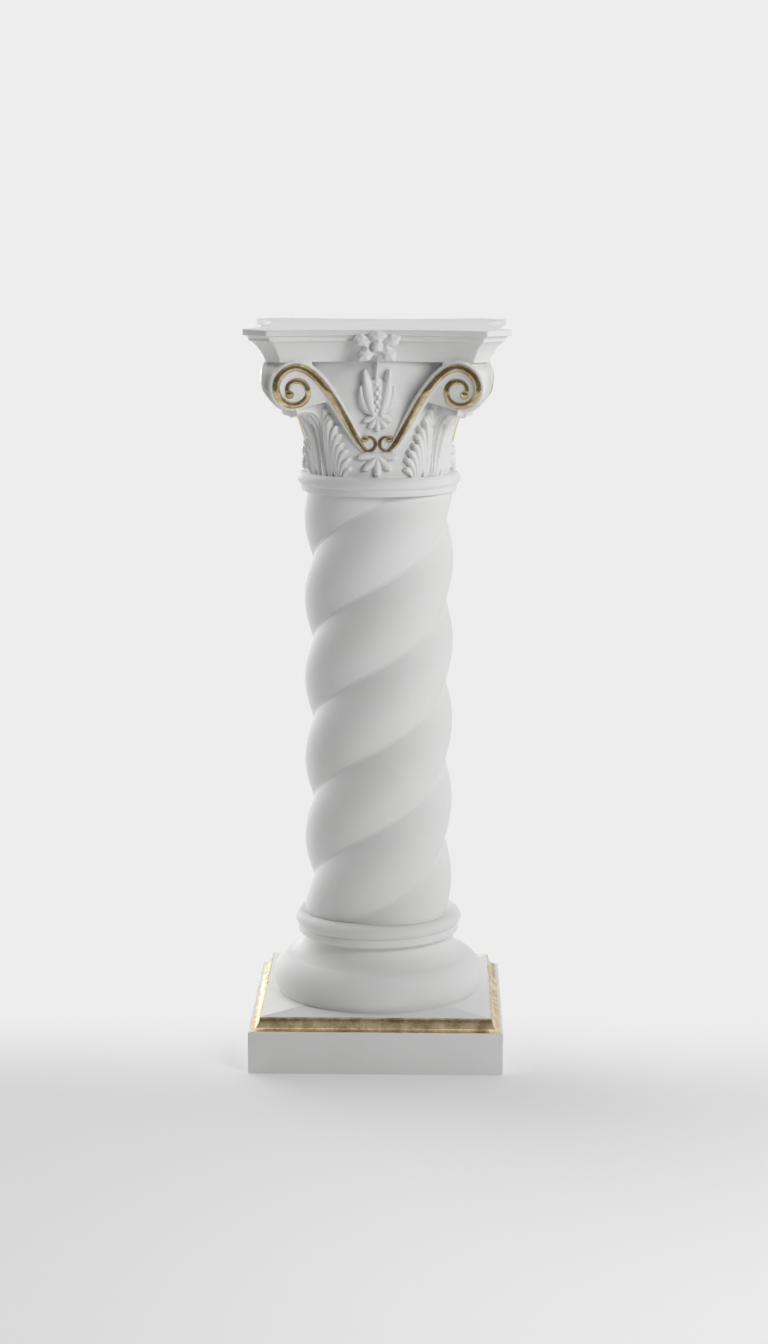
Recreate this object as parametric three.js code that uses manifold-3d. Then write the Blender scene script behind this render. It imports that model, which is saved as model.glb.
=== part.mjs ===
import * as THREE from "three";
import { mergeVertices } from "three/addons/utils/BufferGeometryUtils.js";
import Module from "manifold-3d";

// A column pedestal of cast plaster in three stacked castings: a square plinth with a round moulded
// base, a shaft of three twisted strands, and a capital with corner volutes and acanthus leaves.
// Millimetres, +Z up, origin at the middle of the underside.

// Plinth
const PLINTH_WIDTH = 345;
const SLAB_HEIGHT = 58;
const COVE_HEIGHT = 17;
const COVE_INSET = 15.5;
const COVE_LEDGE = 2.5;
const COVE_FULLNESS = 3;

// Round base moulding
const TORUS_RADIUS = 146;
const TORUS_SECTION = 34;
const TORUS_CENTRE_RISE = 19.3;
const TORUS_HEIGHT = 50.5;
const SCOTIA_HEIGHT = 32;
const SCOTIA_DEPTH = 9;
const SCOTIA_SWEEP_POWER = 0.8;
const SCOTIA_RISE_POWER = 1.25;
const BAND_RADIUS = 111.5;
const BAND_HEIGHT = 11;
const BAND_EDGE = 2;
const RING_RADIUS = 115.5;
const RING_HEIGHT = 18.5;
const RING_FROM_DEG = -65;

// Shaft
const SHAFT_LENGTH = 589.5;
const SHAFT_RADIUS = 102;
const STRANDS = 3;
const STRAND_OFFSET = 22;
const TWIST_LEAD = 335.5;
const TWIST_START_DEG = 70;

// Capital, from the bottom up
const NECK_FILLET_RADIUS = 106;
const NECK_FILLET_HEIGHT = 7.5;
const NECK_FILLET_EDGE = 1;
const ASTRAGAL_RADIUS = 111;
const ASTRAGAL_HEIGHT = 18;
const ASTRAGAL_FROM_DEG = -60;
const BELL_BOTTOM_RADIUS = 97;
const BELL_TOP_RADIUS = 115;
const BELL_HEIGHT = 155;
const BELL_FLARE_POWER = 2.2;
const BELL_TOP_SQUARENESS = 4;

// Abacus
const ABACUS_WIDTH = 351;
const ABACUS_CHAMFER = 32.5;
const ABACUS_SAGITTA = 28;
const ABACUS_CAVETTO_HEIGHT = 27.5;
const ABACUS_CAVETTO_INSET = 19;
const ABACUS_CAVETTO_POWER = 1.5;
const ABACUS_STEP_HEIGHT = 2;
const ABACUS_STEP_INSET = 2;
const ABACUS_STEP_SLOPE = 0.5;
const ABACUS_SPLAY_HEIGHT = 7;
const ABACUS_SPLAY_INSET = 7.5;
const ABACUS_FASCIA_HEIGHT = 6.5;

// Scrolls on each face: a corner spiral, a long S and a small inner curl
const VOLUTE_RADIUS = 31;
const VOLUTE_SHRINK_PER_TURN = 0.41;
const VOLUTE_TURNS = 1.35;
const VOLUTE_INSIDE_HORN = 36.5;
const CURL_RADIUS = 10.5;
const CURL_FROM_MIDDLE = 14;
const CURL_ABOVE_ASTRAGAL = 46;
const CURL_TURNS = 0.6;
const CURL_END_SHARE = 0.7;
const S_TOP_HANDLE = 43;
const S_BOTTOM_HANDLE = 18;
const RIB_HALF_WIDTH = 7;
const RIB_EYE_HALF_WIDTH = 4.5;
const RIB_CURL_HALF_WIDTH = 3.6;
const RIB_PROUD = 6;
const RIB_SEAT = 7;
const RIB_CROWN_SHARE = 0.6;
const RIB_NARROWING_POWER = 3;
const SCROLL_PROUD_TOP = 14;
const SCROLL_PROUD_BOTTOM = 4;
const SCROLL_SEAT_IN_ABACUS = 1;
const BLOCK_SPIRAL_TURNS = 0.56;
const BLOCK_INNER_FROM = 0.12;
const BLOCK_INNER_TO = 0.42;
const SCROLL_MARGIN = 5;
const WALL_FROM = 0.95;
const CORE_MIDDLE_SHARE = 0.4;

// Acanthus leaf on each corner
const LEAF_FOOT_HALF_WIDTH = 38;
const LEAF_HALF_WIDTH = 42;
const LEAF_TOP_HALF_WIDTH = 34;
const LEAF_HEIGHT = 101;
const LEAF_SHOULDER_DROP = 0.2;
const LEAF_PROUD = 5.5;
const LEAF_RELIEF = 5;
const LEAF_SEAT = 12;
const LEAF_FINGERS = 5;
const LEAF_NOTCH = 0.14;
const LEAF_LOBES = 3;
const LEAF_EDGE_THINNING = 0.6;
const TONGUE_RISE = 94;
const TONGUE_TIP_PAST_EYE = 12.4;
const TONGUE_TIP_DROP = 8;
const TONGUE_FOOT_HALF_WIDTH = 8;
const TONGUE_TIP_HALF_WIDTH = 15;
const TONGUE_THICKNESS = 6.5;
const TONGUE_SEAT = 26;
const TONGUE_RELIEF = 2.5;
const TONGUE_FOOT_LEAN = 5;
const TONGUE_FOOT_HANDLE = 0.8;
const TONGUE_TOP_HANDLE_RISE = 1.12;
const TONGUE_TOP_HANDLE_REACH = 0.35;

// Ornaments at the middle of each face
const FLEURON_HALF_WIDTH = 32;
const FLEURON_HALF_HEIGHT = 20;
const FLEURON_PETALS = 5;
const FLEURON_PETAL_DEPTH = 0.3;
const FLEURON_PROUD = 8;
const FLEURON_BUTTON_RADIUS = 7;
const FLEURON_BUTTON_PROUD = 4;
const FLEURON_ROOT_SHARE = 0.7;
const FLEURON_EDGE_PROUD_SHARE = 0.4;
const FLEURON_LIP_SHARE = 0.8;
const FLEURON_DISH_SHARE = 1.6;
const FLEURON_DISH_PROUD_SHARE = 0.6;
const STEM_HALF_WIDTH = 4.5;
const STEM_LENGTH = 26;
const BUD_HALF_WIDTH = 20;
const BUD_HEIGHT = 58;
const BUD_PROUD = 14;
const BUD_DROP = 13;
const BUD_NECK_SHARE = 0.3;
const BUD_BELLY_FROM = 0.1;
const BUD_BELLY_SPAN = 0.88;
const BUD_CROWN_FROM = 0.12;
const BUD_CROWN_SPAN = 0.8;
const BUD_EDGE_TURN_DEG = 64;
const BUD_SEAM = 0.3;
const CALYX_HEIGHT = 26;
const CALYX_HALF_WIDTH = 21;
const CALYX_PROUD = 7;
const CALYX_LOBES = 3;
const CALYX_OVER_BUD = 2;
const PALMETTE_HEIGHT = 29;
const PALMETTE_HALF_WIDTH = 28;
const PALMETTE_PROUD = 8;
const PALMETTE_LOBES = 5;
const PALMETTE_ABOVE_ASTRAGAL = 3;
const FAN_SPREAD = 1.15;
const FAN_NOTCH = 0.14;
const FAN_ROOT_SHARE = 0.12;
const FAN_RIDGE = 0.25;
const FAN_TIP_THINNING = 0.35;

// Fits and fineness
const JOINT_GAP = 0.3;
const SEAT_DEPTH = 12;
const SMALL_OVERLAP = 1;
const BASE_SEGMENTS = 30;
const COVE_POINTS = 5;
const TORUS_POINTS = 6;
const SCOTIA_POINTS = 4;
const ROLL_POINTS = 4;
const BELL_SEGMENTS = 24;
const BELL_LEVELS = 3;
const CAVETTO_POINTS = 3;
const SPIRAL_STATIONS = 9;
const S_STATIONS = 4;
const CURL_STATIONS = 3;
const WALL_LEVELS = 4;
const BACK_COLUMNS = 2;
const FAN_ROWS = 2;
const BUD_ROWS = 4;
const BUD_COLUMNS = 4;
const STEM_COLUMNS = 2;
const STRAND_POINTS = 7;
const SHAFT_LEVELS = 26;
const ABACUS_SIDE_POINTS = 6;
const POINTS_PER_PETAL = 4;
const LEAF_ROWS = 5;
const TONGUE_ROWS = 4;
const TONGUE_COLUMNS = 4;

const FACES = 4;
const QUARTER_TURN = Math.PI / 2;
const EIGHTH_TURN = Math.PI / 4;
const FULL_TURN = Math.PI * 2;
const CROWN_DEG = 90;
const CORNER_DIAGONAL = Math.SQRT2;

const ABACUS_HEIGHT =
  ABACUS_CAVETTO_HEIGHT + ABACUS_STEP_HEIGHT + ABACUS_SPLAY_HEIGHT + ABACUS_FASCIA_HEIGHT;
const ASTRAGAL_TOP = NECK_FILLET_HEIGHT + ASTRAGAL_HEIGHT;
const BELL_TOP = ASTRAGAL_TOP + BELL_HEIGHT;
const FLEURON_POINTS = FLEURON_PETALS * POINTS_PER_PETAL;
const CAPITAL_HEIGHT = BELL_TOP + ABACUS_HEIGHT;
const PLINTH_HEIGHT = SLAB_HEIGHT + COVE_HEIGHT;
const BASE_HEIGHT = PLINTH_HEIGHT + TORUS_HEIGHT + SCOTIA_HEIGHT + BAND_HEIGHT + RING_HEIGHT;
const SIDE_CHORD = ABACUS_WIDTH / 2 - ABACUS_CHAMFER;
const VOLUTE_FROM_MIDDLE = SIDE_CHORD - VOLUTE_INSIDE_HORN;
const TONGUE_REACH = VOLUTE_FROM_MIDDLE * CORNER_DIAGONAL + TONGUE_TIP_PAST_EYE;

const wasm = await Module();
wasm.setup();

const lerp = THREE.MathUtils.lerp;
const radians = THREE.MathUtils.degToRad;
const clamp01 = (value) => THREE.MathUtils.clamp(value, 0, 1);
const steps = (count, from = 0, to = 1) =>
  Array.from({ length: count + 1 }, (_, i) => lerp(from, to, i / count));

// Solids

function centreOf(ring) {
  const sum = ring.reduce((total, point) => total.add(point), new THREE.Vector3());
  return sum.divideScalar(ring.length);
}

// A closed solid through rings of equally many points, with a fan over each end. Each four-sided
// patch is cut along its shorter diagonal.
function loft(rings) {
  const count = rings[0].length;
  const last = (rings.length - 1) * count;
  const startCentre = rings.length * count;
  const endCentre = startCentre + 1;
  const points = [...rings.flat(), centreOf(rings[0]), centreOf(rings.at(-1))];
  const index = [];
  for (let j = 0; j < count; j++) {
    const k = (j + 1) % count;
    index.push(startCentre, k, j, endCentre, last + j, last + k);
    for (let row = 0; row < last; row += count) {
      const [a, b, c, d] = [row + j, row + k, row + count + k, row + count + j];
      const firstIsShorter = points[a].distanceTo(points[c]) < points[b].distanceTo(points[d]);
      index.push(...(firstIsShorter ? [a, b, c, a, c, d] : [a, b, d, b, c, d]));
    }
  }
  const geometry = new THREE.BufferGeometry().setFromPoints(points);
  geometry.setIndex(index);
  return geometry;
}

function lathe(profile, segments) {
  const points = profile.map(([radius, z]) => new THREE.Vector2(radius, z));
  return new THREE.LatheGeometry(points, segments).rotateX(QUARTER_TURN);
}

function signedVolume(positions, index) {
  const corner = (i) => new THREE.Vector3().fromArray(positions, index[i] * 3);
  let six = 0;
  for (let i = 0; i < index.length; i += 3) {
    six += corner(i).dot(corner(i + 1).cross(corner(i + 2)));
  }
  return six / 6;
}

// A geometry as a solid for joining, turned right side out if it was mirrored.
function solidOf(geometry) {
  const bare = geometry.clone();
  bare.deleteAttribute("normal");
  bare.deleteAttribute("uv");
  const merged = mergeVertices(bare, 1e-3);
  const vertProperties = new Float32Array(merged.getAttribute("position").array);
  const triVerts = new Uint32Array(merged.index.array);
  if (signedVolume(vertProperties, triVerts) < 0) triVerts.reverse();
  return new wasm.Manifold(new wasm.Mesh({ numProp: 3, vertProperties, triVerts }));
}

function join(geometries) {
  const joined = geometries.map(solidOf).reduce((all, solid) => all.add(solid));
  const mesh = joined.getMesh();
  const geometry = new THREE.BufferGeometry();
  geometry.setAttribute("position", new THREE.BufferAttribute(mesh.vertProperties, 3));
  geometry.setIndex(new THREE.BufferAttribute(mesh.triVerts, 1));
  return geometry;
}

const onEachFace = (geometry, turn = 0) =>
  steps(FACES - 1, 0, FACES - 1).map((face) =>
    geometry.clone().rotateZ(face * QUARTER_TURN + turn),
  );

// Section of a round moulding from an angle below its middle up to its crown, as [radius, z] pairs.
function rollSection(radius, z, half, fromDeg) {
  return steps(ROLL_POINTS, radians(fromDeg), radians(CROWN_DEG)).map((angle) => [
    radius + half * Math.cos(angle),
    z + half * Math.sin(angle),
  ]);
}

// Base: plinth and round moulding, cast as one

function squareRing(inset, z) {
  const half = PLINTH_WIDTH / 2 - inset;
  return steps(FACES - 1, 0, FACES - 1).map((corner) =>
    new THREE.Vector3(half, half, z).applyAxisAngle(
      new THREE.Vector3(0, 0, 1),
      corner * QUARTER_TURN,
    ),
  );
}

function plinth() {
  const coveTurns = steps(COVE_POINTS, 0, QUARTER_TURN);
  const coveDepth = COVE_INSET - COVE_LEDGE;
  const cove = coveTurns.map((turn) =>
    squareRing(
      COVE_LEDGE + coveDepth * Math.sin(turn),
      PLINTH_HEIGHT - COVE_HEIGHT * Math.cos(turn) * Math.cos(turn / COVE_FULLNESS),
    ),
  );
  return loft([squareRing(0, 0), squareRing(0, SLAB_HEIGHT), ...cove]);
}

function baseMoulding() {
  const torusCentre = TORUS_RADIUS - TORUS_SECTION;
  const torusZ = PLINTH_HEIGHT + TORUS_CENTRE_RISE;
  const torusTop = PLINTH_HEIGHT + TORUS_HEIGHT;
  const footTurn = -Math.asin(TORUS_CENTRE_RISE / TORUS_SECTION);
  const topTurn = Math.asin((TORUS_HEIGHT - TORUS_CENTRE_RISE) / TORUS_SECTION);
  const torus = steps(TORUS_POINTS, footTurn, topTurn).map((turn) => [
    torusCentre + TORUS_SECTION * Math.cos(turn),
    torusZ + TORUS_SECTION * Math.sin(turn),
  ]);
  const crease = torus.at(-1)[0];
  const waist = BAND_RADIUS - SCOTIA_DEPTH;
  const scotia = steps(SCOTIA_POINTS).map((share) => [
    lerp(crease, waist, Math.sin(share * QUARTER_TURN) ** SCOTIA_SWEEP_POWER),
    torusTop + SCOTIA_HEIGHT * share ** SCOTIA_RISE_POWER,
  ]);
  const bandBottom = torusTop + SCOTIA_HEIGHT;
  const bandTop = bandBottom + BAND_HEIGHT;
  const ringHalf = RING_HEIGHT / 2;
  const ringCentre = RING_RADIUS - ringHalf;
  const ring = rollSection(ringCentre, bandTop + ringHalf, ringHalf, RING_FROM_DEG);
  const profile = [
    [0, PLINTH_HEIGHT - SEAT_DEPTH],
    [torusCentre, PLINTH_HEIGHT - SEAT_DEPTH],
    ...torus,
    ...scotia.slice(1),
    [BAND_RADIUS, bandBottom + BAND_EDGE],
    [BAND_RADIUS, bandTop],
    ...ring,
    [0, BASE_HEIGHT],
  ];
  return lathe(profile, BASE_SEGMENTS);
}

// Shaft: three strands that overlap and turn as they rise

function strandRing(z) {
  const strandRadius = SHAFT_RADIUS - STRAND_OFFSET;
  const turned = radians(TWIST_START_DEG) + (FULL_TURN * z) / TWIST_LEAD;
  const halfStrand = Math.PI / STRANDS;
  const count = STRANDS * STRAND_POINTS;
  return Array.from({ length: count }, (_, i) => {
    const strand = Math.floor(i / STRAND_POINTS);
    const local = lerp(-halfStrand, halfStrand, (i % STRAND_POINTS) / STRAND_POINTS);
    const side = STRAND_OFFSET * Math.sin(local);
    const radius = STRAND_OFFSET * Math.cos(local) + Math.sqrt(strandRadius ** 2 - side ** 2);
    const angle = turned + strand * 2 * halfStrand + local;
    return new THREE.Vector3(radius * Math.cos(angle), radius * Math.sin(angle), z);
  });
}

const shaft = () =>
  loft(steps(SHAFT_LEVELS, JOINT_GAP, SHAFT_LENGTH - JOINT_GAP).map(strandRing));

// Capital: surfaces that its ornament follows

// The bell is round at its foot and nears a rounded square under the abacus. The angle is measured
// from the middle of a face.
function bellRadius(z, angle = 0) {
  const share = clamp01((z - ASTRAGAL_TOP) / BELL_HEIGHT);
  const middle = lerp(BELL_BOTTOM_RADIUS, BELL_TOP_RADIUS, share ** BELL_FLARE_POWER);
  const power = lerp(2, BELL_TOP_SQUARENESS, share);
  const sum = Math.abs(Math.cos(angle)) ** power + Math.abs(Math.sin(angle)) ** power;
  return middle * sum ** (-1 / power);
}

const SIDE_ARC_RADIUS = (SIDE_CHORD ** 2 + ABACUS_SAGITTA ** 2) / (2 * ABACUS_SAGITTA);
const sideArc = (x) => SIDE_ARC_RADIUS - Math.sqrt(SIDE_ARC_RADIUS ** 2 - x ** 2);

const EYE_Z = BELL_TOP + SCROLL_SEAT_IN_ABACUS - VOLUTE_RADIUS - RIB_HALF_WIDTH;
const CURL_Z = ASTRAGAL_TOP + CURL_ABOVE_ASTRAGAL;

// A point of the front face's scroll surface, concave in plan like the abacus above it.
function scrollFace(x, z, proud = 0) {
  const share = clamp01((z - CURL_Z) / (EYE_Z - CURL_Z));
  const middle = bellRadius(z) + lerp(SCROLL_PROUD_BOTTOM, SCROLL_PROUD_TOP, share);
  return new THREE.Vector3(x, -(middle + sideArc(x) + proud), z);
}

// A point over the bell, at a distance around it from the middle of the front face.
function overBell(around, z, proud) {
  const angle = around / bellRadius(z);
  const out = bellRadius(z, angle) + proud;
  return new THREE.Vector3(out * Math.sin(angle), -out * Math.cos(angle), z);
}

function bellRing(z) {
  return steps(BELL_SEGMENTS - 1, 0, FULL_TURN * (1 - 1 / BELL_SEGMENTS)).map((angle) => {
    const radius = bellRadius(z, angle);
    return new THREE.Vector3(radius * Math.cos(angle), radius * Math.sin(angle), z);
  });
}

const bell = () =>
  loft([...steps(BELL_LEVELS, ASTRAGAL_TOP, BELL_TOP), BELL_TOP + SEAT_DEPTH].map(bellRing));

function astragal() {
  const astragalHalf = ASTRAGAL_HEIGHT / 2;
  const roll = rollSection(
    ASTRAGAL_RADIUS - astragalHalf,
    NECK_FILLET_HEIGHT + astragalHalf,
    astragalHalf,
    ASTRAGAL_FROM_DEG,
  );
  const profile = [
    [0, 0],
    [NECK_FILLET_RADIUS - NECK_FILLET_EDGE, 0],
    [NECK_FILLET_RADIUS, NECK_FILLET_EDGE],
    [NECK_FILLET_RADIUS, NECK_FILLET_HEIGHT],
    ...roll,
    [BELL_BOTTOM_RADIUS / 2, ASTRAGAL_TOP + SMALL_OVERLAP],
    [0, ASTRAGAL_TOP + SMALL_OVERLAP],
  ];
  return lathe(profile, BASE_SEGMENTS);
}

// Abacus: concave sides and cut corners, drawn in parallel to its top edge

function abacusRing(inset, z) {
  const half = ABACUS_WIDTH / 2 - inset;
  const cornerX = half - ABACUS_CHAMFER + inset * Math.tan(EIGHTH_TURN / 2);
  const middle = half - ABACUS_SAGITTA;
  const side = steps(ABACUS_SIDE_POINTS, -1, 1).map(
    (share) => new THREE.Vector3(cornerX * share, -(middle + ABACUS_SAGITTA * share ** 2), z),
  );
  return steps(FACES - 1, 0, FACES - 1).flatMap((face) =>
    side.map((point) =>
      point.clone().applyAxisAngle(new THREE.Vector3(0, 0, 1), face * QUARTER_TURN),
    ),
  );
}

function abacus() {
  const splayInset = ABACUS_SPLAY_INSET;
  const stepInset = splayInset + ABACUS_STEP_INSET;
  const cavettoTop = BELL_TOP + ABACUS_CAVETTO_HEIGHT;
  const stepTop = cavettoTop + ABACUS_STEP_HEIGHT;
  const splayTop = stepTop + ABACUS_SPLAY_HEIGHT;
  const cavetto = steps(CAVETTO_POINTS, 0, QUARTER_TURN).map((turn) =>
    abacusRing(
      stepInset + ABACUS_CAVETTO_INSET * Math.cos(turn) ** ABACUS_CAVETTO_POWER,
      BELL_TOP + ABACUS_CAVETTO_HEIGHT * Math.sin(turn) ** ABACUS_CAVETTO_POWER,
    ),
  );
  return loft([
    ...cavetto,
    abacusRing(splayInset, cavettoTop + ABACUS_STEP_SLOPE),
    abacusRing(splayInset, stepTop),
    abacusRing(0, splayTop),
    abacusRing(0, CAPITAL_HEIGHT),
  ]);
}

// Scrolls, drawn on the left half of the front face as points of x and z

function volutePoint(turns) {
  const angle = QUARTER_TURN + turns * FULL_TURN;
  const radius = VOLUTE_RADIUS * VOLUTE_SHRINK_PER_TURN ** turns;
  return new THREE.Vector2(
    -VOLUTE_FROM_MIDDLE + radius * Math.cos(angle),
    EYE_Z + radius * Math.sin(angle),
  );
}

function curlPoint(turns) {
  const angle = -QUARTER_TURN + turns * FULL_TURN;
  const radius = CURL_RADIUS * lerp(1, CURL_END_SHARE, turns / CURL_TURNS);
  return new THREE.Vector2(
    -CURL_FROM_MIDDLE + radius * Math.cos(angle),
    CURL_Z + radius * Math.sin(angle),
  );
}

function longS() {
  const top = volutePoint(0);
  const bottom = curlPoint(0);
  return new THREE.CubicBezierCurve(
    top,
    new THREE.Vector2(top.x + S_TOP_HANDLE, top.y),
    new THREE.Vector2(bottom.x - S_BOTTOM_HANDLE, bottom.y),
    bottom,
  );
}

const stretchHalfWidth = (share) =>
  lerp(RIB_HALF_WIDTH, RIB_CURL_HALF_WIDTH, share ** RIB_NARROWING_POWER);

// Stations along a scroll from the volute's eye to the end of the inner curl.
function scrollStations() {
  const spiral = steps(SPIRAL_STATIONS, VOLUTE_TURNS, 0).map((turns) => ({
    at: volutePoint(turns),
    halfWidth: lerp(RIB_HALF_WIDTH, RIB_EYE_HALF_WIDTH, turns / VOLUTE_TURNS),
  }));
  const stretch = steps(S_STATIONS).map((share) => ({
    at: longS().getPoint(share),
    halfWidth: stretchHalfWidth(share),
  }));
  const curl = steps(CURL_STATIONS, 0, CURL_TURNS).map((turns) => ({
    at: curlPoint(turns),
    halfWidth: RIB_CURL_HALF_WIDTH,
  }));
  return [...spiral, ...stretch.slice(1), ...curl.slice(1)];
}

// Unit direction across the route, to its right-hand side, at one of its stations.
function acrossAt(stations, i) {
  const before = stations[Math.max(i - 1, 0)].at;
  const after = stations[Math.min(i + 1, stations.length - 1)].at;
  const along = new THREE.Vector2().subVectors(after, before).normalize();
  return new THREE.Vector2(along.y, -along.x);
}

// The rounded rib that follows a scroll.
function scrollRib() {
  const stations = scrollStations();
  const section = [
    [-1, -RIB_SEAT],
    [-RIB_CROWN_SHARE, RIB_PROUD],
    [RIB_CROWN_SHARE, RIB_PROUD],
    [1, -RIB_SEAT],
  ];
  const rings = stations.map(({ at, halfWidth }, i) => {
    const across = acrossAt(stations, i);
    const slim = halfWidth / RIB_HALF_WIDTH;
    return section.map(([side, proud]) => {
      const point = at.clone().addScaledVector(across, side * halfWidth);
      return scrollFace(point.x, point.y, proud > 0 ? proud * slim : proud);
    });
  });
  return loft(rings);
}

// The block behind two scrolls that share a corner: its outline runs along the outer edge of the
// scroll, and it spans from one face to the mirrored place on the next.
function cornerBlock() {
  const centre = new THREE.Vector2(-VOLUTE_FROM_MIDDLE, EYE_Z);
  const spiral = steps(SPIRAL_STATIONS, BLOCK_SPIRAL_TURNS, 0).map((turns) => {
    const point = volutePoint(turns);
    const out = point.clone().sub(centre).normalize();
    return point.addScaledVector(out, RIB_HALF_WIDTH);
  });
  const curve = longS();
  const beside = (share, side) => {
    const along = curve.getTangent(share);
    const across = new THREE.Vector2(along.y, -along.x);
    return curve.getPoint(share).addScaledVector(across, side * stretchHalfWidth(share));
  };
  const inner = [BLOCK_INNER_FROM, BLOCK_INNER_TO].map((share) => beside(share, -1));
  const outline = [...spiral, ...inner, beside(BLOCK_INNER_TO, 1)];
  const shape = new THREE.Shape(outline);
  const block = new THREE.ExtrudeGeometry(shape, { depth: 1, steps: 1, bevelEnabled: false });
  const position = block.getAttribute("position");
  for (let i = 0; i < position.count; i++) {
    const face = scrollFace(position.getX(i), position.getY(i));
    if (position.getZ(i) > 0.5) position.setXYZ(i, face.y, face.x, face.z);
    else position.setXYZ(i, face.x, face.y, face.z);
  }
  return block;
}

// The scroll's wall that stands on the bell, and what fills the corner behind the block, in level
// slices from the small curl up to the abacus.
function cornerCore() {
  const curve = longS();
  const slice = (share, z, outer, footOut) => {
    const inner = curve.getPoint(share).x + stretchHalfWidth(share) * RIB_CROWN_SHARE;
    const onBell = (x) => new THREE.Vector3(x, SEAT_DEPTH - bellRadius(z), z);
    const edge = scrollFace(outer, z);
    const foot = onBell(outer).lerp(edge.clone().setX(outer - SEAT_DEPTH), footOut);
    const front = [onBell(inner), scrollFace(inner, z), edge, foot];
    const side = front.map((point) => new THREE.Vector3(point.y, point.x, z)).reverse();
    const inside = -bellRadius(z) * CORE_MIDDLE_SHARE;
    return [new THREE.Vector3(inside, inside, z), ...front, ...side];
  };
  const wall = steps(WALL_LEVELS, WALL_FROM, BLOCK_INNER_TO).map((share) => {
    const at = curve.getPoint(share);
    return slice(share, at.y, at.x - stretchHalfWidth(share) - SCROLL_MARGIN * (1 - share), 0);
  });
  const shoulder = curve.getPoint(BLOCK_INNER_TO).x - RIB_HALF_WIDTH;
  return loft([
    ...wall,
    slice(BLOCK_INNER_TO, curve.getPoint(BLOCK_INNER_TO).y + SMALL_OVERLAP, shoulder, 1),
    slice(BLOCK_INNER_FROM, EYE_Z + VOLUTE_RADIUS, -VOLUTE_FROM_MIDDLE, 1),
    slice(BLOCK_INNER_FROM, BELL_TOP + SMALL_OVERLAP, -VOLUTE_FROM_MIDDLE, 1),
  ]);
}

// Relief ornament: a sheet of rows and columns with a front and a back

function reliefSolid(rows, columns, front, back) {
  const rings = steps(rows).map((along) => [
    ...steps(columns, -1, 1).map((across) => front(along, across)),
    ...steps(BACK_COLUMNS, 1, -1).map((across) => back(along, across)),
  ]);
  return loft(rings);
}

// Acanthus leaf that lies on the bell round a corner, drawn at the front and turned afterwards.
function leafSheet() {
  const halfWidth = (along) =>
    lerp(
      lerp(LEAF_FOOT_HALF_WIDTH, LEAF_TOP_HALF_WIDTH, along),
      LEAF_HALF_WIDTH,
      Math.sin(along * Math.PI),
    );
  const place = (along, across, proud) => {
    const notch = LEAF_NOTCH * Math.cos(along * Math.PI * LEAF_LOBES) ** 2 * across ** 4;
    const z = ASTRAGAL_TOP + LEAF_HEIGHT * along * (1 - LEAF_SHOULDER_DROP * across ** 4);
    const turn = (across * halfWidth(along) * (1 - notch)) / bellRadius(z, EIGHTH_TURN);
    const out = bellRadius(z, EIGHTH_TURN + turn) + proud;
    return new THREE.Vector3(out * Math.sin(turn), -out * Math.cos(turn), z);
  };
  const front = (along, across) => {
    const finger = Math.cos(across * LEAF_FINGERS * Math.PI) / 2;
    const crown = LEAF_PROUD * (1 - LEAF_EDGE_THINNING * across ** 4);
    return place(along, across, crown + LEAF_RELIEF * finger * along);
  };
  const back = (along, across) => place(along, across, -LEAF_SEAT);
  return reliefSolid(LEAF_ROWS, LEAF_FINGERS * 2, front, back);
}

// Middle of the leaf, which rolls out of it under the volutes
function leafTongue() {
  const foot = ASTRAGAL_TOP;
  const spine = new THREE.CubicBezierCurve(
    new THREE.Vector2(bellRadius(foot), foot),
    new THREE.Vector2(bellRadius(foot) + TONGUE_FOOT_LEAN, foot + TONGUE_RISE * TONGUE_FOOT_HANDLE),
    new THREE.Vector2(
      lerp(BELL_BOTTOM_RADIUS, TONGUE_REACH, TONGUE_TOP_HANDLE_REACH),
      foot + TONGUE_RISE * TONGUE_TOP_HANDLE_RISE,
    ),
    new THREE.Vector2(TONGUE_REACH, foot + TONGUE_RISE - TONGUE_TIP_DROP),
  );
  const place = (along, across, proud) => {
    const at = spine.getPoint(along);
    const tangent = spine.getTangent(along);
    const side = across * lerp(TONGUE_FOOT_HALF_WIDTH, TONGUE_TIP_HALF_WIDTH, along);
    return new THREE.Vector3(side, -(at.x + proud * tangent.y), at.y - proud * tangent.x);
  };
  const front = (along, across) =>
    place(along, across, TONGUE_THICKNESS + TONGUE_RELIEF * Math.cos(across * Math.PI));
  const back = (along, across) => place(along, across, -TONGUE_SEAT);
  return reliefSolid(TONGUE_ROWS, TONGUE_COLUMNS, front, back);
}

// A fan of lobes that hangs from its narrow top
function hangingFan(top, height, halfWidthMost, proudMost, lobes) {
  const place = (along, across, proud) => {
    const spread = across * FAN_SPREAD;
    const lobe = 1 - FAN_NOTCH * (1 - Math.cos(across * Math.PI * lobes)) * along;
    const reach = lerp(FAN_ROOT_SHARE, 1, along) * lobe;
    const around = halfWidthMost * Math.sin(spread) * reach;
    return overBell(around, top - height * Math.cos(spread) * reach, proud);
  };
  const front = (along, across) => {
    const ridge = lerp(1, Math.cos(across * Math.PI * lobes), FAN_RIDGE);
    return place(along, across, proudMost * ridge * (1 - FAN_TIP_THINNING * along));
  };
  const back = (along, across) => place(along, across, -proudMost);
  return reliefSolid(FAN_ROWS, 2 * lobes, front, back);
}

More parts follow.
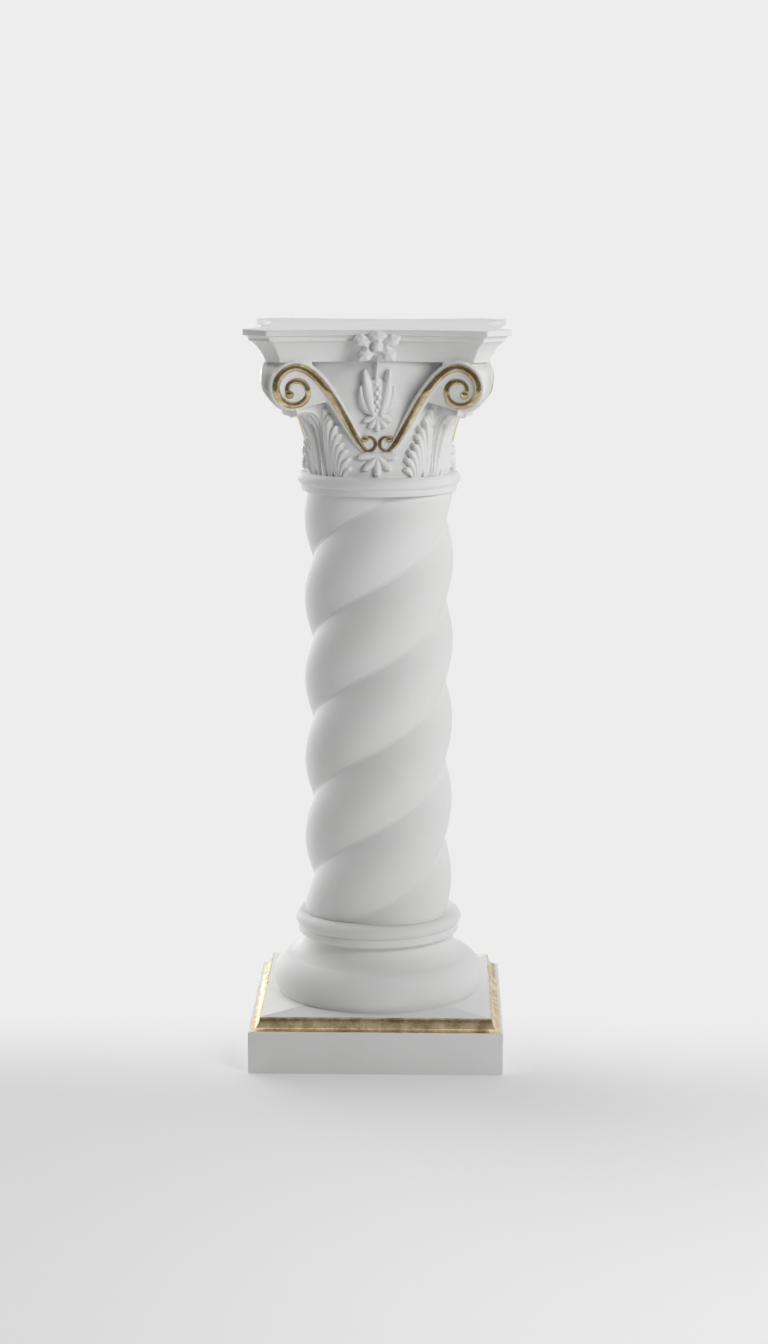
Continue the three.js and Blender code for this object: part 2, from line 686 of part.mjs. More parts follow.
// Closed tulip bud, wide below its middle, that hangs on the stem
function bud() {
  const top = BELL_TOP - BUD_DROP;
  const belly = (along) => Math.sin((BUD_BELLY_FROM + BUD_BELLY_SPAN * along) * Math.PI);
  const halfWidth = (along) => BUD_HALF_WIDTH * lerp(BUD_NECK_SHARE, 1, belly(along));
  const place = (along, across, proud) =>
    overBell(across * halfWidth(along), top - BUD_HEIGHT * along, proud);
  const front = (along, across) => {
    const round = Math.cos(across * radians(BUD_EDGE_TURN_DEG));
    const seamed = lerp(1, Math.cos(across * FULL_TURN), BUD_SEAM);
    const crown = Math.sin((BUD_CROWN_FROM + BUD_CROWN_SPAN * along) * Math.PI);
    return place(along, across, BUD_PROUD * round * seamed * crown);
  };
  const back = (along, across) => place(along, across, -SEAT_DEPTH / 2);
  return reliefSolid(BUD_ROWS, BUD_COLUMNS, front, back);
}

function stem() {
  const front = (along, across) =>
    overBell(across * STEM_HALF_WIDTH, BELL_TOP - STEM_LENGTH * along, STEM_HALF_WIDTH);
  const back = (along, across) =>
    overBell(across * STEM_HALF_WIDTH, BELL_TOP - STEM_LENGTH * along, -STEM_HALF_WIDTH);
  return reliefSolid(1, STEM_COLUMNS, front, back);
}

// Ruffled flower over the middle of the abacus side
function fleuron() {
  const faceY = ABACUS_WIDTH / 2 - ABACUS_SAGITTA;
  const middleZ = BELL_TOP + ABACUS_HEIGHT / 2;
  const ring = (size, out, ruffle) =>
    steps(FLEURON_POINTS - 1, 0, 1 - 1 / FLEURON_POINTS).map((share) => {
      const angle = share * FULL_TURN;
      const petal = 1 - ruffle * Math.sin((angle * FLEURON_PETALS) / 2) ** 4;
      return new THREE.Vector3(
        FLEURON_HALF_WIDTH * size * petal * Math.sin(angle),
        -(faceY + out),
        middleZ + FLEURON_HALF_HEIGHT * size * petal * Math.cos(angle),
      );
    });
  const button = FLEURON_BUTTON_RADIUS / FLEURON_HALF_WIDTH;
  return loft([
    ring(FLEURON_ROOT_SHARE, -ABACUS_SAGITTA - SEAT_DEPTH, 0),
    ring(1, FLEURON_PROUD * FLEURON_EDGE_PROUD_SHARE, FLEURON_PETAL_DEPTH),
    ring(FLEURON_LIP_SHARE, FLEURON_PROUD, FLEURON_PETAL_DEPTH),
    ring(FLEURON_DISH_SHARE * button, FLEURON_PROUD * FLEURON_DISH_PROUD_SHARE, 0),
    ring(button, FLEURON_PROUD + FLEURON_BUTTON_PROUD, 0),
  ]);
}

function capital() {
  const rib = scrollRib();
  const ribs = [rib, rib.clone().scale(-1, 1, 1)].flatMap((one) => onEachFace(one));
  const calyx = hangingFan(
    BELL_TOP - BUD_DROP - BUD_HEIGHT + CALYX_OVER_BUD,
    CALYX_HEIGHT,
    CALYX_HALF_WIDTH,
    CALYX_PROUD,
    CALYX_LOBES,
  );
  const palmette = hangingFan(
    ASTRAGAL_TOP + PALMETTE_ABOVE_ASTRAGAL + PALMETTE_HEIGHT,
    PALMETTE_HEIGHT,
    PALMETTE_HALF_WIDTH,
    PALMETTE_PROUD,
    PALMETTE_LOBES,
  );
  return join([
    astragal(),
    bell(),
    abacus(),
    ...onEachFace(cornerBlock()),
    ...onEachFace(cornerCore()),
    ...ribs,
    ...onEachFace(leafSheet(), -EIGHTH_TURN),
    ...onEachFace(leafTongue(), -EIGHTH_TURN),
    ...onEachFace(bud()),
    ...onEachFace(stem()),
    ...onEachFace(calyx),
    ...onEachFace(palmette),
    ...onEachFace(fleuron()),
  ]);
}

// The pedestal

const plaster = () =>
  new THREE.MeshStandardMaterial({ color: 0xf0efec, roughness: 0.75, metalness: 0 });

function piece(name, geometry, z) {
  const mesh = new THREE.Mesh(geometry, plaster());
  mesh.name = name;
  mesh.position.z = z;
  return mesh;
}

const pedestal = new THREE.Group();
pedestal.add(piece("base", join([plinth(), baseMoulding()]), 0));
pedestal.add(piece("shaft", shaft(), BASE_HEIGHT));
pedestal.add(piece("capital", capital(), BASE_HEIGHT + SHAFT_LENGTH));

export default pedestal;
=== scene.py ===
"""Looks of the twisted column pedestal: fine plaster castings with gold-painted scrolls."""

import math

import bpy
import numpy as np
from mathutils import Matrix, Vector
from mathutils.geometry import tessellate_polygon


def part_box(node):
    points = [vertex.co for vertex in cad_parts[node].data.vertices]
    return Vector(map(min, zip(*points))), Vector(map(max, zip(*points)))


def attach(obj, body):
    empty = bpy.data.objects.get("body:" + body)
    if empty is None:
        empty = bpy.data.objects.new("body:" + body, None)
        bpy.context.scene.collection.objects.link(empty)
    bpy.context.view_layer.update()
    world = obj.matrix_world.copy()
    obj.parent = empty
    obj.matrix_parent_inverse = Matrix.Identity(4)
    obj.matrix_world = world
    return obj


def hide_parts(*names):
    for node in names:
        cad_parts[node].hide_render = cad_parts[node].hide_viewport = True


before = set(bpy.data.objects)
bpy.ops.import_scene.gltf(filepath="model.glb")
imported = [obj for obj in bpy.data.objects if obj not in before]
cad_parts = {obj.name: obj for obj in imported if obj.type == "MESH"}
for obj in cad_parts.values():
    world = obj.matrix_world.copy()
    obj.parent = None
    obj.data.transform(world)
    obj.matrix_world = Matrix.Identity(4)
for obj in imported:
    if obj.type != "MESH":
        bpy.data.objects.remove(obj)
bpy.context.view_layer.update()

# Lengths below are in millimetres and are scaled to metres when a mesh is made.
MM = 0.001
BASE_LOW, BASE_HIGH = (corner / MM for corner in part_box("base"))
CAPITAL_LOW, CAPITAL_HIGH = (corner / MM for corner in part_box("capital"))

TAU = 2 * math.pi
FACES = 4
CORNER_TURN = math.pi / 4

# Plinth and round base moulding
PLINTH_WIDTH = BASE_HIGH.x - BASE_LOW.x
BASE_TOP = BASE_HIGH.z
SLAB_HEIGHT = 58
COVE_HEIGHT = 17
COVE_INSET = 15.5
COVE_LEDGE = 2.5
PLINTH_HEIGHT = SLAB_HEIGHT + COVE_HEIGHT
ARRIS = 1.2
PLINTH_CORNER = ARRIS * 1.5
TORUS_RADIUS = 146
TORUS_SECTION = 34
TORUS_CENTRE_RISE = 19.3
TORUS_HEIGHT = 50.5
SCOTIA_HEIGHT = 32
SCOTIA_DEPTH = 9
SCOTIA_IN_POWER = 0.8
SCOTIA_UP_POWER = 1.25
BAND_RADIUS = 111.5
RING_RADIUS = 115.5
RING_HEIGHT = 18.5
RING_START_DEGREES = -62

# Gold of the plinth's cove: a thin frame that laps over the white edges beside it
GOLD_CLEARANCE = 0.8
GOLD_THICKNESS = 3
GOLD_BACK_DROP = 2
GOLD_LAP_OUT = 0.6
GOLD_LAP_DOWN = 0.3
GOLD_LAP_IN = 1.4

# Shaft
SHAFT_BOTTOM = BASE_TOP
SHAFT_TOP = CAPITAL_LOW.z
SHAFT_RADIUS = 101.9
STRANDS = 3
STRAND_OFFSET = 22
TWIST_LEAD = 335.5
TWIST_START = math.radians(70)
GROOVE_SOFTNESS = 1.2
GROOVE_SOFT_WIDTH = 2.2
SHAFT_JOINT = 0.3

# Capital
NECK_FILLET_RADIUS = 106
NECK_FILLET_HEIGHT = 7.5
ASTRAGAL_RADIUS = 111
ASTRAGAL_HEIGHT = 18
BELL_BOTTOM_RADIUS = 97
BELL_TOP_RADIUS = 115
BELL_HEIGHT = 155
BELL_FLARE_POWER = 2.2
BELL_TOP_SQUARENESS = 4
BELL_IN_NECK = 4
BELL_BELOW_NECK_TOP = 3
BELL_IN_ABACUS = 4
ASTRAGAL_TOP = CAPITAL_LOW.z + NECK_FILLET_HEIGHT + ASTRAGAL_HEIGHT
BELL_TOP = ASTRAGAL_TOP + BELL_HEIGHT
CAPITAL_TOP = CAPITAL_HIGH.z

# Abacus
ABACUS_WIDTH = CAPITAL_HIGH.x - CAPITAL_LOW.x
ABACUS_CHAMFER = 32.5
ABACUS_SAGITTA = 28
ABACUS_CAVETTO_HEIGHT = 27.5
ABACUS_CAVETTO_INSET = 19
ABACUS_STEP = 2
ABACUS_SPLAY_INSET = 7.5
ABACUS_FASCIA_SEEN = 7.4
ABACUS_UNDERCUT = 1.6
ABACUS_CORNER = 2.0

# Scrolls
VOLUTE_RADIUS = 31
VOLUTE_SHRINK_PER_TURN = 0.41
VOLUTE_TURNS = 1.35
VOLUTE_INSIDE_HORN = 36.5
CURL_RADIUS = 10.5
CURL_FROM_MIDDLE = 12
CURL_Z = ASTRAGAL_TOP + 46
CURL_TURNS = 0.6
CURL_END_SHARE = 0.7
S_TOP_HANDLE = 43
S_BOTTOM_HANDLE = 18
RIB_HALF_WIDTH = 7
RIB_EYE_HALF_WIDTH = 4.5
RIB_CURL_HALF_WIDTH = 3.6
RIB_PROUD = 5.8
RIB_SEAT = 2.0
RIB_SHOULDER = 0.12
GOLD_SIDE = 0.8
EYE_BALL = 1.25
CURL_BALL = 1.35
RIM_GROOVE = 2.4
SCROLL_PROUD_TOP = 14
SCROLL_PROUD_BOTTOM = -1
SCROLL_PROUD_POWER = 1.8
SCROLL_MARGIN = 5
SCROLL_SEAT = 12

# White margin beside the gold: side in half-widths of the rib, and height in millimetres
BED_OUTLINE = ((-1.3, -8.0), (-1.22, 1.2), (-1.02, 2.4), (1.02, 2.4), (1.22, 1.2), (1.3, -8.0))
EYE_Z = BELL_TOP + 1 - VOLUTE_RADIUS - RIB_HALF_WIDTH
VOLUTE_FROM_MIDDLE = ABACUS_WIDTH / 2 - ABACUS_CHAMFER - VOLUTE_INSIDE_HORN

# Where the corner's body starts and ends along a scroll: turns of the volute, shares of the S
BLOCK_FROM_TURNS = 0.56
BLOCK_OUTER_FROM = 0.05
BLOCK_INNER_TO = 0.42
WALL_FROM = 0.97
WALL_TOP = 0.12
CORE_MIDDLE_SHARE = 0.4

# Acanthus leaf: a sheet on the bell round the corner and a tongue that rolls out under the volutes
TONGUE_RISE = 94
TONGUE_TIP_PAST_EYE = 12.4
TONGUE_REACH = VOLUTE_FROM_MIDDLE * math.sqrt(2) + TONGUE_TIP_PAST_EYE
TONGUE_TIP_DROP = 8
TONGUE_FOOT_HALF_WIDTH = 6
TONGUE_TIP_HALF_WIDTH = 15
TONGUE_LEAN = 5
TONGUE_THICKNESS = 24
TONGUE_CROWN = 3.0
TONGUE_RIBS = (-0.84, -0.42, 0.0, 0.42, 0.84)
TONGUE_RIB_PROUD = 8.8
TONGUE_RIB_FALL = 2.2

# Fingers of the leaf: half-width and height at the root and near the tip, what the longest ones
# gain in height and curl, and how far each reaches into what carries it
LEAF_WIDTH_ROOT, LEAF_WIDTH_FULL = 1.3, 4.1
LEAF_PROUD_ROOT, LEAF_PROUD_TIP, LEAF_PROUD_CREST = 5.5, 7.0, 2.2
LEAF_CURL, LEAF_CURL_CREST = 2.5, 3.5
LEAF_CREST_AT = 0.4
FINGER_SEAT = 4

# Bud at the middle of each face, the small leaves under it, and the flower's button and stalk
BUD_TOP = BELL_TOP - 10
BUD_BOTTOM = BELL_TOP - 72
BUD_WAIST = BUD_BOTTOM + 22
BUD_HALF_WIDTH = 17.5
BUD_PROUD = 9.5
BUD_SEAT = 6.0
BUD_BEADS = 7
BUD_BEAD_PROUD = 10.5

# Fans of small leaves: top, height, spread in degrees, half-width of a leaf and curl of its tip
FANS = ((BUD_BOTTOM + 3, 24, 60, 5.0, 3.0), (CURL_Z - 14, 30, 80, 6.2, 4.0))
FAN_LEAVES = 5
FAN_PROUD = 8.0
STALK_HALF_WIDTH = 19
STALK_HALF_HEIGHT = 12
STALK_LENGTH = 34.0
PETAL_SEAT = 6.0

# Fineness: steps round a turned form, and edge of a voxel and triangles of one moulded piece
TURNED_STEPS = 128
BELL_STEPS = 144
SHAFT_LEVELS = 330
STRAND_STEPS = 44
CORNER_VOXEL = 0.8
CORNER_TRIANGLES = 47000
FLOWER_VOXEL = 0.7
BUD_TRIANGLES = 20000
FLEURON_TRIANGLES = 14000

# Camera, as the photograph was taken
SENSOR_WIDTH = 36
PHOTO_HEIGHT = 1344
FOCAL_PX = 2726.5
CAMERA_PLACE = Vector((0.07707, -3.70790, 1.18295))
CAMERA_YAW = 0.0188
CAMERA_PITCH = 0.1762
CAMERA_ROLL = 0.0021


# Small helpers


def clamp01(value):
    return min(max(value, 0.0), 1.0)


def mix(a, b, share):
    return a + (b - a) * share


def shares(count, start=0.0, end=1.0):
    return [mix(start, end, i / count) for i in range(count + 1)]


def turned(points, angle):
    """Points turned about the column's axis."""
    c, s = math.cos(angle), math.sin(angle)
    points = np.asarray(points, float)
    out = points.copy()
    out[..., 0] = c * points[..., 0] - s * points[..., 1]
    out[..., 1] = s * points[..., 0] + c * points[..., 1]
    return out


def full_turn(steps):
    """Angles of a whole turn, its end left out."""
    return shares(steps, 0, TAU)[:-1]


def wall_faces(levels, count):
    """Four-sided faces between rings of equally many points."""
    faces = []
    for row in range(levels - 1):
        for j in range(count):
            a, b = row * count + j, row * count + (j + 1) % count
            faces.append((a, b, b + count, a + count))
    return faces


class Solid:
    """Vertices in millimetres and faces of one closed mesh, or of several side by side."""

    def __init__(self):
        self.points = []
        self.faces = []

    def add(self, points, faces):
        start = len(self.points)
        self.points.extend(tuple(p) for p in points)
        self.faces.extend(tuple(start + i for i in face) for face in faces)
        return self

    def loft(self, rings, flip=False):
        """Skin through rings of equally many points, closed by a face at each end."""
        rings = np.asarray(rings, float)
        levels, count = rings.shape[:2]
        faces = wall_faces(levels, count)
        points = list(rings.reshape(-1, 3))
        for row in (0, levels - 1):
            points.append(rings[row].mean(axis=0))
            centre = len(points) - 1
            for j in range(count):
                k = (j + 1) % count
                a, b = row * count + j, row * count + k
                faces.append((centre, b, a) if row == 0 else (centre, a, b))
        if flip:
            faces = [face[::-1] for face in faces]
        return self.add(points, faces)

    def extend(self, other, angle=0.0, mirror=False):
        points = np.array(other.points, float)
        faces = other.faces
        if mirror:
            points[:, 0] *= -1
            faces = [face[::-1] for face in faces]
        return self.add(turned(points, angle), faces)

    def around(self):
        """Four copies, one on each face."""
        whole = Solid()
        for face in range(FACES):
            whole.extend(self, face * TAU / FACES)
        return whole

    def mesh(self, name):
        mesh = bpy.data.meshes.new(name)
        points = [(x * MM, y * MM, z * MM) for x, y, z in self.points]
        mesh.from_pydata(points, [], self.faces)
        mesh.update()
        return mesh


def make_piece(name, solid, material, node, sharp_degrees=40):
    mesh = solid.mesh(name)
    mesh.name = name
    mesh.polygons.foreach_set("use_smooth", [True] * len(mesh.polygons))
    mesh.set_sharp_from_angle(angle=math.radians(sharp_degrees))
    mesh.materials.append(material)
    piece = bpy.data.objects.new(name, mesh)
    bpy.context.scene.collection.objects.link(piece)
    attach(piece, "root")
    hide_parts(node)
    return piece


def fused(solid, name, voxel, keep_triangles, smoothing=2):
    """One skin over a solid's overlapping parts, softened as a casting from a mould is."""
    obj = bpy.data.objects.new(name, solid.mesh(name))
    bpy.context.scene.collection.objects.link(obj)
    remesh = obj.modifiers.new("skin", "REMESH")
    remesh.mode = "VOXEL"
    remesh.voxel_size = voxel * MM
    soften = obj.modifiers.new("soften", "SMOOTH")
    soften.factor = 0.5
    soften.iterations = smoothing
    graph = bpy.context.evaluated_depsgraph_get()
    fine = bpy.data.meshes.new_from_object(obj.evaluated_get(graph))
    obj.modifiers.clear()
    obj.data = fine
    fewer = obj.modifiers.new("fewer", "DECIMATE")
    triangles = sum(len(polygon.vertices) - 2 for polygon in fine.polygons)
    fewer.ratio = min(1.0, keep_triangles / triangles)
    graph = bpy.context.evaluated_depsgraph_get()
    light = bpy.data.meshes.new_from_object(obj.evaluated_get(graph))
    bpy.data.objects.remove(obj)
    return light


def make_moulded(name, solid, voxel, triangles):
    """A piece of fused parts, on each of the four faces or corners."""
    skin = fused(solid, name, voxel, triangles)
    points = [tuple(vertex.co / MM) for vertex in skin.vertices]
    one = Solid().add(points, [tuple(polygon.vertices) for polygon in skin.polygons])
    make_piece(name, one.around(), PLASTER, "capital", sharp_degrees=80)


# Materials

# Most of a noise texture's values lie between these.
NOISE_LOW = 0.3
NOISE_HIGH = 0.7


class Nodes:
    """Short calls for building the node tree of a material or of the world."""

    def __init__(self, owner, output, shader):
        owner.use_nodes = True
        self.tree = owner.node_tree
        self.tree.nodes.clear()
        self.output = self.node(output)
        self.shader = self.node(shader)
        self.link(self.shader, 0, self.output, "Surface")
        self.coordinates = self.node("ShaderNodeTexCoord")

    def node(self, kind, **settings):
        made = self.tree.nodes.new(kind)
        for key, value in settings.items():
            setattr(made, key, value)
        return made

    def link(self, source, output, target, socket):
        self.tree.links.new(source.outputs[output], target.inputs[socket])

    def fade(self, source, output, start, end, most=1.0):
        """Rises smoothly from nothing to most while the source goes from start to end."""
        fade = self.node("ShaderNodeMapRange", interpolation_type="SMOOTHSTEP")
        fade.inputs["From Min"].default_value = start
        fade.inputs["From Max"].default_value = end
        fade.inputs["To Max"].default_value = most
        self.link(source, output, fade, "Value")
        return fade

    def noise(self, scale, detail=3.0, roughness=0.5, stretch=None):
        noise = self.node("ShaderNodeTexNoise")
        noise.inputs["Scale"].default_value = scale
        noise.inputs["Detail"].default_value = detail
        noise.inputs["Roughness"].default_value = roughness
        if stretch:
            mapping = self.node("ShaderNodeMapping")
            mapping.inputs["Scale"].default_value = stretch
            self.link(self.coordinates, "Object", mapping, "Vector")
            self.link(mapping, "Vector", noise, "Vector")
        else:
            self.link(self.coordinates, "Object", noise, "Vector")
        return noise

    def ramp(self, source, stops, output="Fac"):
        ramp = self.node("ShaderNodeValToRGB")
        elements = ramp.color_ramp.elements
        while len(elements) < len(stops):
            elements.new(0.5)
        for element, (position, colour) in zip(elements, stops):
            element.position = position
            element.color = (*colour, 1.0)
        self.link(source, output, ramp, "Fac")
        return ramp

    def spread(self, source, low, high):
        spread = self.node("ShaderNodeMapRange")
        spread.inputs["From Min"].default_value = NOISE_LOW
        spread.inputs["From Max"].default_value = NOISE_HIGH
        spread.inputs["To Min"].default_value = low
        spread.inputs["To Max"].default_value = high
        self.link(source, "Fac", spread, "Value")
        return spread

    def bump(self, source, distance, strength, under=None):
        bump = self.node("ShaderNodeBump")
        bump.inputs["Distance"].default_value = distance
        bump.inputs["Strength"].default_value = strength
        self.link(source, "Fac", bump, "Height")
        if under:
            self.link(under, "Normal", bump, "Normal")
        return bump


def material_nodes(material):
    return Nodes(material, "ShaderNodeOutputMaterial", "ShaderNodeBsdfPrincipled")


def painted_plaster():
    """Matte white paint over cast plaster: faint clouds, brush drag and a fine tooth."""
    material = bpy.data.materials.new("painted_plaster")
    nodes = material_nodes(material)
    clouds = nodes.noise(scale=7.0, detail=5.0, roughness=0.6)
    colour = nodes.ramp(
        clouds,
        [(0.3, (0.80, 0.80, 0.79)), (0.55, (0.83, 0.83, 0.825)), (0.75, (0.85, 0.85, 0.85))],
    )
    nodes.link(colour, "Color", nodes.shader, "Base Color")
    tooth = nodes.noise(scale=420.0, detail=4.0, roughness=0.65)
    sheen = nodes.spread(tooth, low=0.52, high=0.66)
    nodes.link(sheen, "Result", nodes.shader, "Roughness")
    drag = nodes.noise(scale=30.0, detail=3.0, stretch=(1.0, 1.0, 0.35))
    waves = nodes.bump(drag, distance=0.0006, strength=0.25)
    grain = nodes.bump(tooth, distance=0.00025, strength=0.35, under=waves)
    nodes.link(grain, "Normal", nodes.shader, "Normal")
    nodes.shader.inputs["Specular IOR Level"].default_value = 0.35
    return material


def gold_paint():
    """Brushed-on gold paint: fine metal flake in darker and paler strokes."""
    material = bpy.data.materials.new("gold_paint")
    nodes = material_nodes(material)
    strokes = nodes.noise(scale=55.0, detail=5.0, roughness=0.65)
    colour = nodes.ramp(
        strokes,
        [
            (0.32, (0.42, 0.30, 0.15)),
            (0.5, (0.68, 0.54, 0.32)),
            (0.7, (0.88, 0.77, 0.54)),
        ],
    )
    nodes.link(colour, "Color", nodes.shader, "Base Color")
    nodes.shader.inputs["Metallic"].default_value = 0.9
    flake = nodes.noise(scale=300.0, detail=3.0)
    rough = nodes.spread(flake, low=0.16, high=0.28)
    nodes.link(rough, "Result", nodes.shader, "Roughness")
    lumps = nodes.bump(strokes, distance=0.001, strength=0.2)
    fine = nodes.bump(flake, distance=0.0003, strength=0.3, under=lumps)
    nodes.link(fine, "Normal", nodes.shader, "Normal")
    return material


PLASTER = painted_plaster()
GOLD = gold_paint()


# Base casting


def square_ring(inset, z, corner):
    """A square ring with small rounded corners."""
    half = PLINTH_WIDTH / 2 - inset
    centre = half - corner
    ring = []
    for side in range(FACES):
        for turn in shares(5, 0, math.pi / 2):
            point = (centre + corner * math.cos(turn), centre + corner * math.sin(turn), z)
            ring.append(turned(point, side * math.pi / 2))
    return ring


def cove_levels(sink=0.0):
    """Inset and height along the cove from its ledge to the plinth's top."""
    depth = COVE_INSET - COVE_LEDGE
    return [
        (
            COVE_LEDGE + depth * math.sin(turn) + sink,
            PLINTH_HEIGHT - COVE_HEIGHT * math.cos(turn) * math.cos(turn / 3),
        )
        for turn in shares(12, 0, math.pi / 2)
    ]


def arris(inset, z, upward):
    """Levels of a small rounded edge, from below to above."""
    turns = shares(3, 0, math.pi / 2)
    if upward:
        return [
            (inset + ARRIS * (1 - math.cos(t)), z - ARRIS + ARRIS * math.sin(t)) for t in turns
        ]
    return [
        (inset + ARRIS * (1 - math.sin(t)), z + ARRIS - ARRIS * math.cos(t)) for t in turns
    ]


def lathe(profile, segments):
    """Rings of a turned shape from radius and height pairs."""
    return [
        [(r * math.cos(a), r * math.sin(a), z) for a in full_turn(segments)]
        for r, z in profile
    ]


def section(centre, z, radius, start, end, count):
    """A round moulding's profile, from one angle in degrees to another."""
    return [
        (centre + radius * math.cos(a), z + radius * math.sin(a))
        for a in shares(count, math.radians(start), math.radians(end))
    ]


def base_profile():
    torus_centre = TORUS_RADIUS - TORUS_SECTION
    torus_z = PLINTH_HEIGHT + TORUS_CENTRE_RISE
    torus_top = PLINTH_HEIGHT + TORUS_HEIGHT
    foot = -math.degrees(math.asin(TORUS_CENTRE_RISE / TORUS_SECTION))
    crown = math.degrees(math.asin((TORUS_HEIGHT - TORUS_CENTRE_RISE) / TORUS_SECTION))
    torus = section(torus_centre, torus_z, TORUS_SECTION, foot, crown, 28)
    crease = torus[-1][0]
    waist = BAND_RADIUS - SCOTIA_DEPTH
    scotia = [
        (
            mix(crease, waist, math.sin(share * math.pi / 2) ** SCOTIA_IN_POWER),
            torus_top + SCOTIA_HEIGHT * share**SCOTIA_UP_POWER,
        )
        for share in shares(18)
    ]
    band_bottom = torus_top + SCOTIA_HEIGHT
    band_top = BASE_TOP - RING_HEIGHT
    ring_half = RING_HEIGHT / 2
    ring_centre = RING_RADIUS - ring_half
    ring_z = band_top + ring_half
    ring = section(ring_centre, ring_z, ring_half, RING_START_DEGREES, 90, 20)
    edge = 1.0
    return [
        (torus_centre, PLINTH_HEIGHT - COVE_HEIGHT),
        (torus[0][0] - edge, PLINTH_HEIGHT - COVE_HEIGHT / 2),
        *torus,
        *scotia[1:],
        (BAND_RADIUS - edge, band_bottom + edge),
        (BAND_RADIUS, band_bottom + 2 * edge),
        (BAND_RADIUS, band_top - edge),
        *ring,
    ]


def make_base():
    solid = Solid()
    levels = [
        *arris(0, 0, upward=False),
        *arris(0, SLAB_HEIGHT, upward=True)[:-1],
        *cove_levels(sink=GOLD_CLEARANCE)[1:-1],
        (COVE_INSET + GOLD_CLEARANCE, PLINTH_HEIGHT - ARRIS / 2),
        (COVE_INSET + 2 * GOLD_CLEARANCE, PLINTH_HEIGHT),
    ]
    solid.loft([square_ring(inset, z, PLINTH_CORNER) for inset, z in levels])
    solid.loft(lathe(base_profile(), TURNED_STEPS))
    make_piece("base_casting", solid, PLASTER, "base")


def make_gold_cove():
    """Paint of the cove, as a thin closed frame that runs round the plinth."""
    front = cove_levels()
    first = (COVE_LEDGE - GOLD_LAP_OUT, SLAB_HEIGHT - GOLD_LAP_DOWN)
    front = [first, *front[1:], (COVE_INSET + GOLD_LAP_IN, PLINTH_HEIGHT)]
    back = [(inset + GOLD_THICKNESS, z - GOLD_BACK_DROP) for inset, z in reversed(front[1:-1])]
    outline = [*front, (COVE_INSET + GOLD_THICKNESS, PLINTH_HEIGHT - GOLD_BACK_DROP), *back]
    points = []
    for corner in range(FACES):
        for inset, z in outline:
            half = PLINTH_WIDTH / 2 - inset
            points.append(turned((half, half, z), corner * math.pi / 2))
    count = len(outline)
    faces = []
    for corner in range(FACES):
        after = (corner + 1) % FACES
        for j in range(count):
            k = (j + 1) % count
            faces.append(
                (corner * count + j, after * count + j, after * count + k, corner * count + k)
            )
    solid = Solid().add(points, faces)
    make_piece("base_gold_cove", solid, GOLD, "base", sharp_degrees=50)


# Shaft


def strand_radius(offset):
    """Distance from the column's axis to a strand's face, at an angle from the strand's middle."""
    strand = SHAFT_RADIUS - STRAND_OFFSET
    side = STRAND_OFFSET * math.sin(offset)
    return STRAND_OFFSET * math.cos(offset) + math.sqrt(strand**2 - side**2)


def make_shaft():
    half = math.pi / STRANDS
    crowding = 0.6
    offsets = []
    for share in shares(STRAND_STEPS)[:-1]:
        spaced = 0.5 - 0.5 * math.cos(share * math.pi)
        offsets.append(mix(-half, half, mix(share, spaced, crowding)))
    radii = [
        strand_radius(offset)
        + GROOVE_SOFTNESS
        * math.exp(-(((half - abs(offset)) * SHAFT_RADIUS / GROOVE_SOFT_WIDTH) ** 2))
        for offset in offsets
    ]
    rings = []
    for z in shares(SHAFT_LEVELS, SHAFT_BOTTOM + SHAFT_JOINT, SHAFT_TOP - SHAFT_JOINT):
        turn = TWIST_START + TAU * (z - SHAFT_BOTTOM) / TWIST_LEAD
        ring = []
        for strand in range(STRANDS):
            for offset, radius in zip(offsets, radii):
                angle = turn + strand * 2 * half + offset
                ring.append((radius * math.cos(angle), radius * math.sin(angle), z))
        rings.append(ring)
    solid = Solid().loft(rings)
    make_piece("shaft_casting", solid, PLASTER, "shaft", sharp_degrees=75)


# Surfaces of the capital


def bell_radius(z, angle=0.0):
    share = clamp01((z - ASTRAGAL_TOP) / BELL_HEIGHT)
    middle = mix(BELL_BOTTOM_RADIUS, BELL_TOP_RADIUS, share**BELL_FLARE_POWER)
    power = mix(2, BELL_TOP_SQUARENESS, share)
    total = abs(math.cos(angle)) ** power + abs(math.sin(angle)) ** power
    return middle * total ** (-1 / power)


SIDE_CHORD = ABACUS_WIDTH / 2 - ABACUS_CHAMFER
SIDE_ARC_RADIUS = (SIDE_CHORD**2 + ABACUS_SAGITTA**2) / (2 * ABACUS_SAGITTA)


def scroll_face(x, z, proud=0.0):
    """A point of the front face's scroll surface, concave in plan like the abacus."""
    share = clamp01((z - CURL_Z) / (EYE_Z - CURL_Z))
    proud_here = mix(SCROLL_PROUD_BOTTOM, SCROLL_PROUD_TOP, share**SCROLL_PROUD_POWER)
    middle = bell_radius(z) + proud_here
    arc = SIDE_ARC_RADIUS - math.sqrt(SIDE_ARC_RADIUS**2 - x**2)
    return (x, -(middle + arc + proud), z)


def over_bell(around, z, proud):
    """A point over the bell, measured around it from the middle of the front face."""
    angle = around / bell_radius(z)
    out = bell_radius(z, angle) + proud
    return (out * math.sin(angle), -out * math.cos(angle), z)


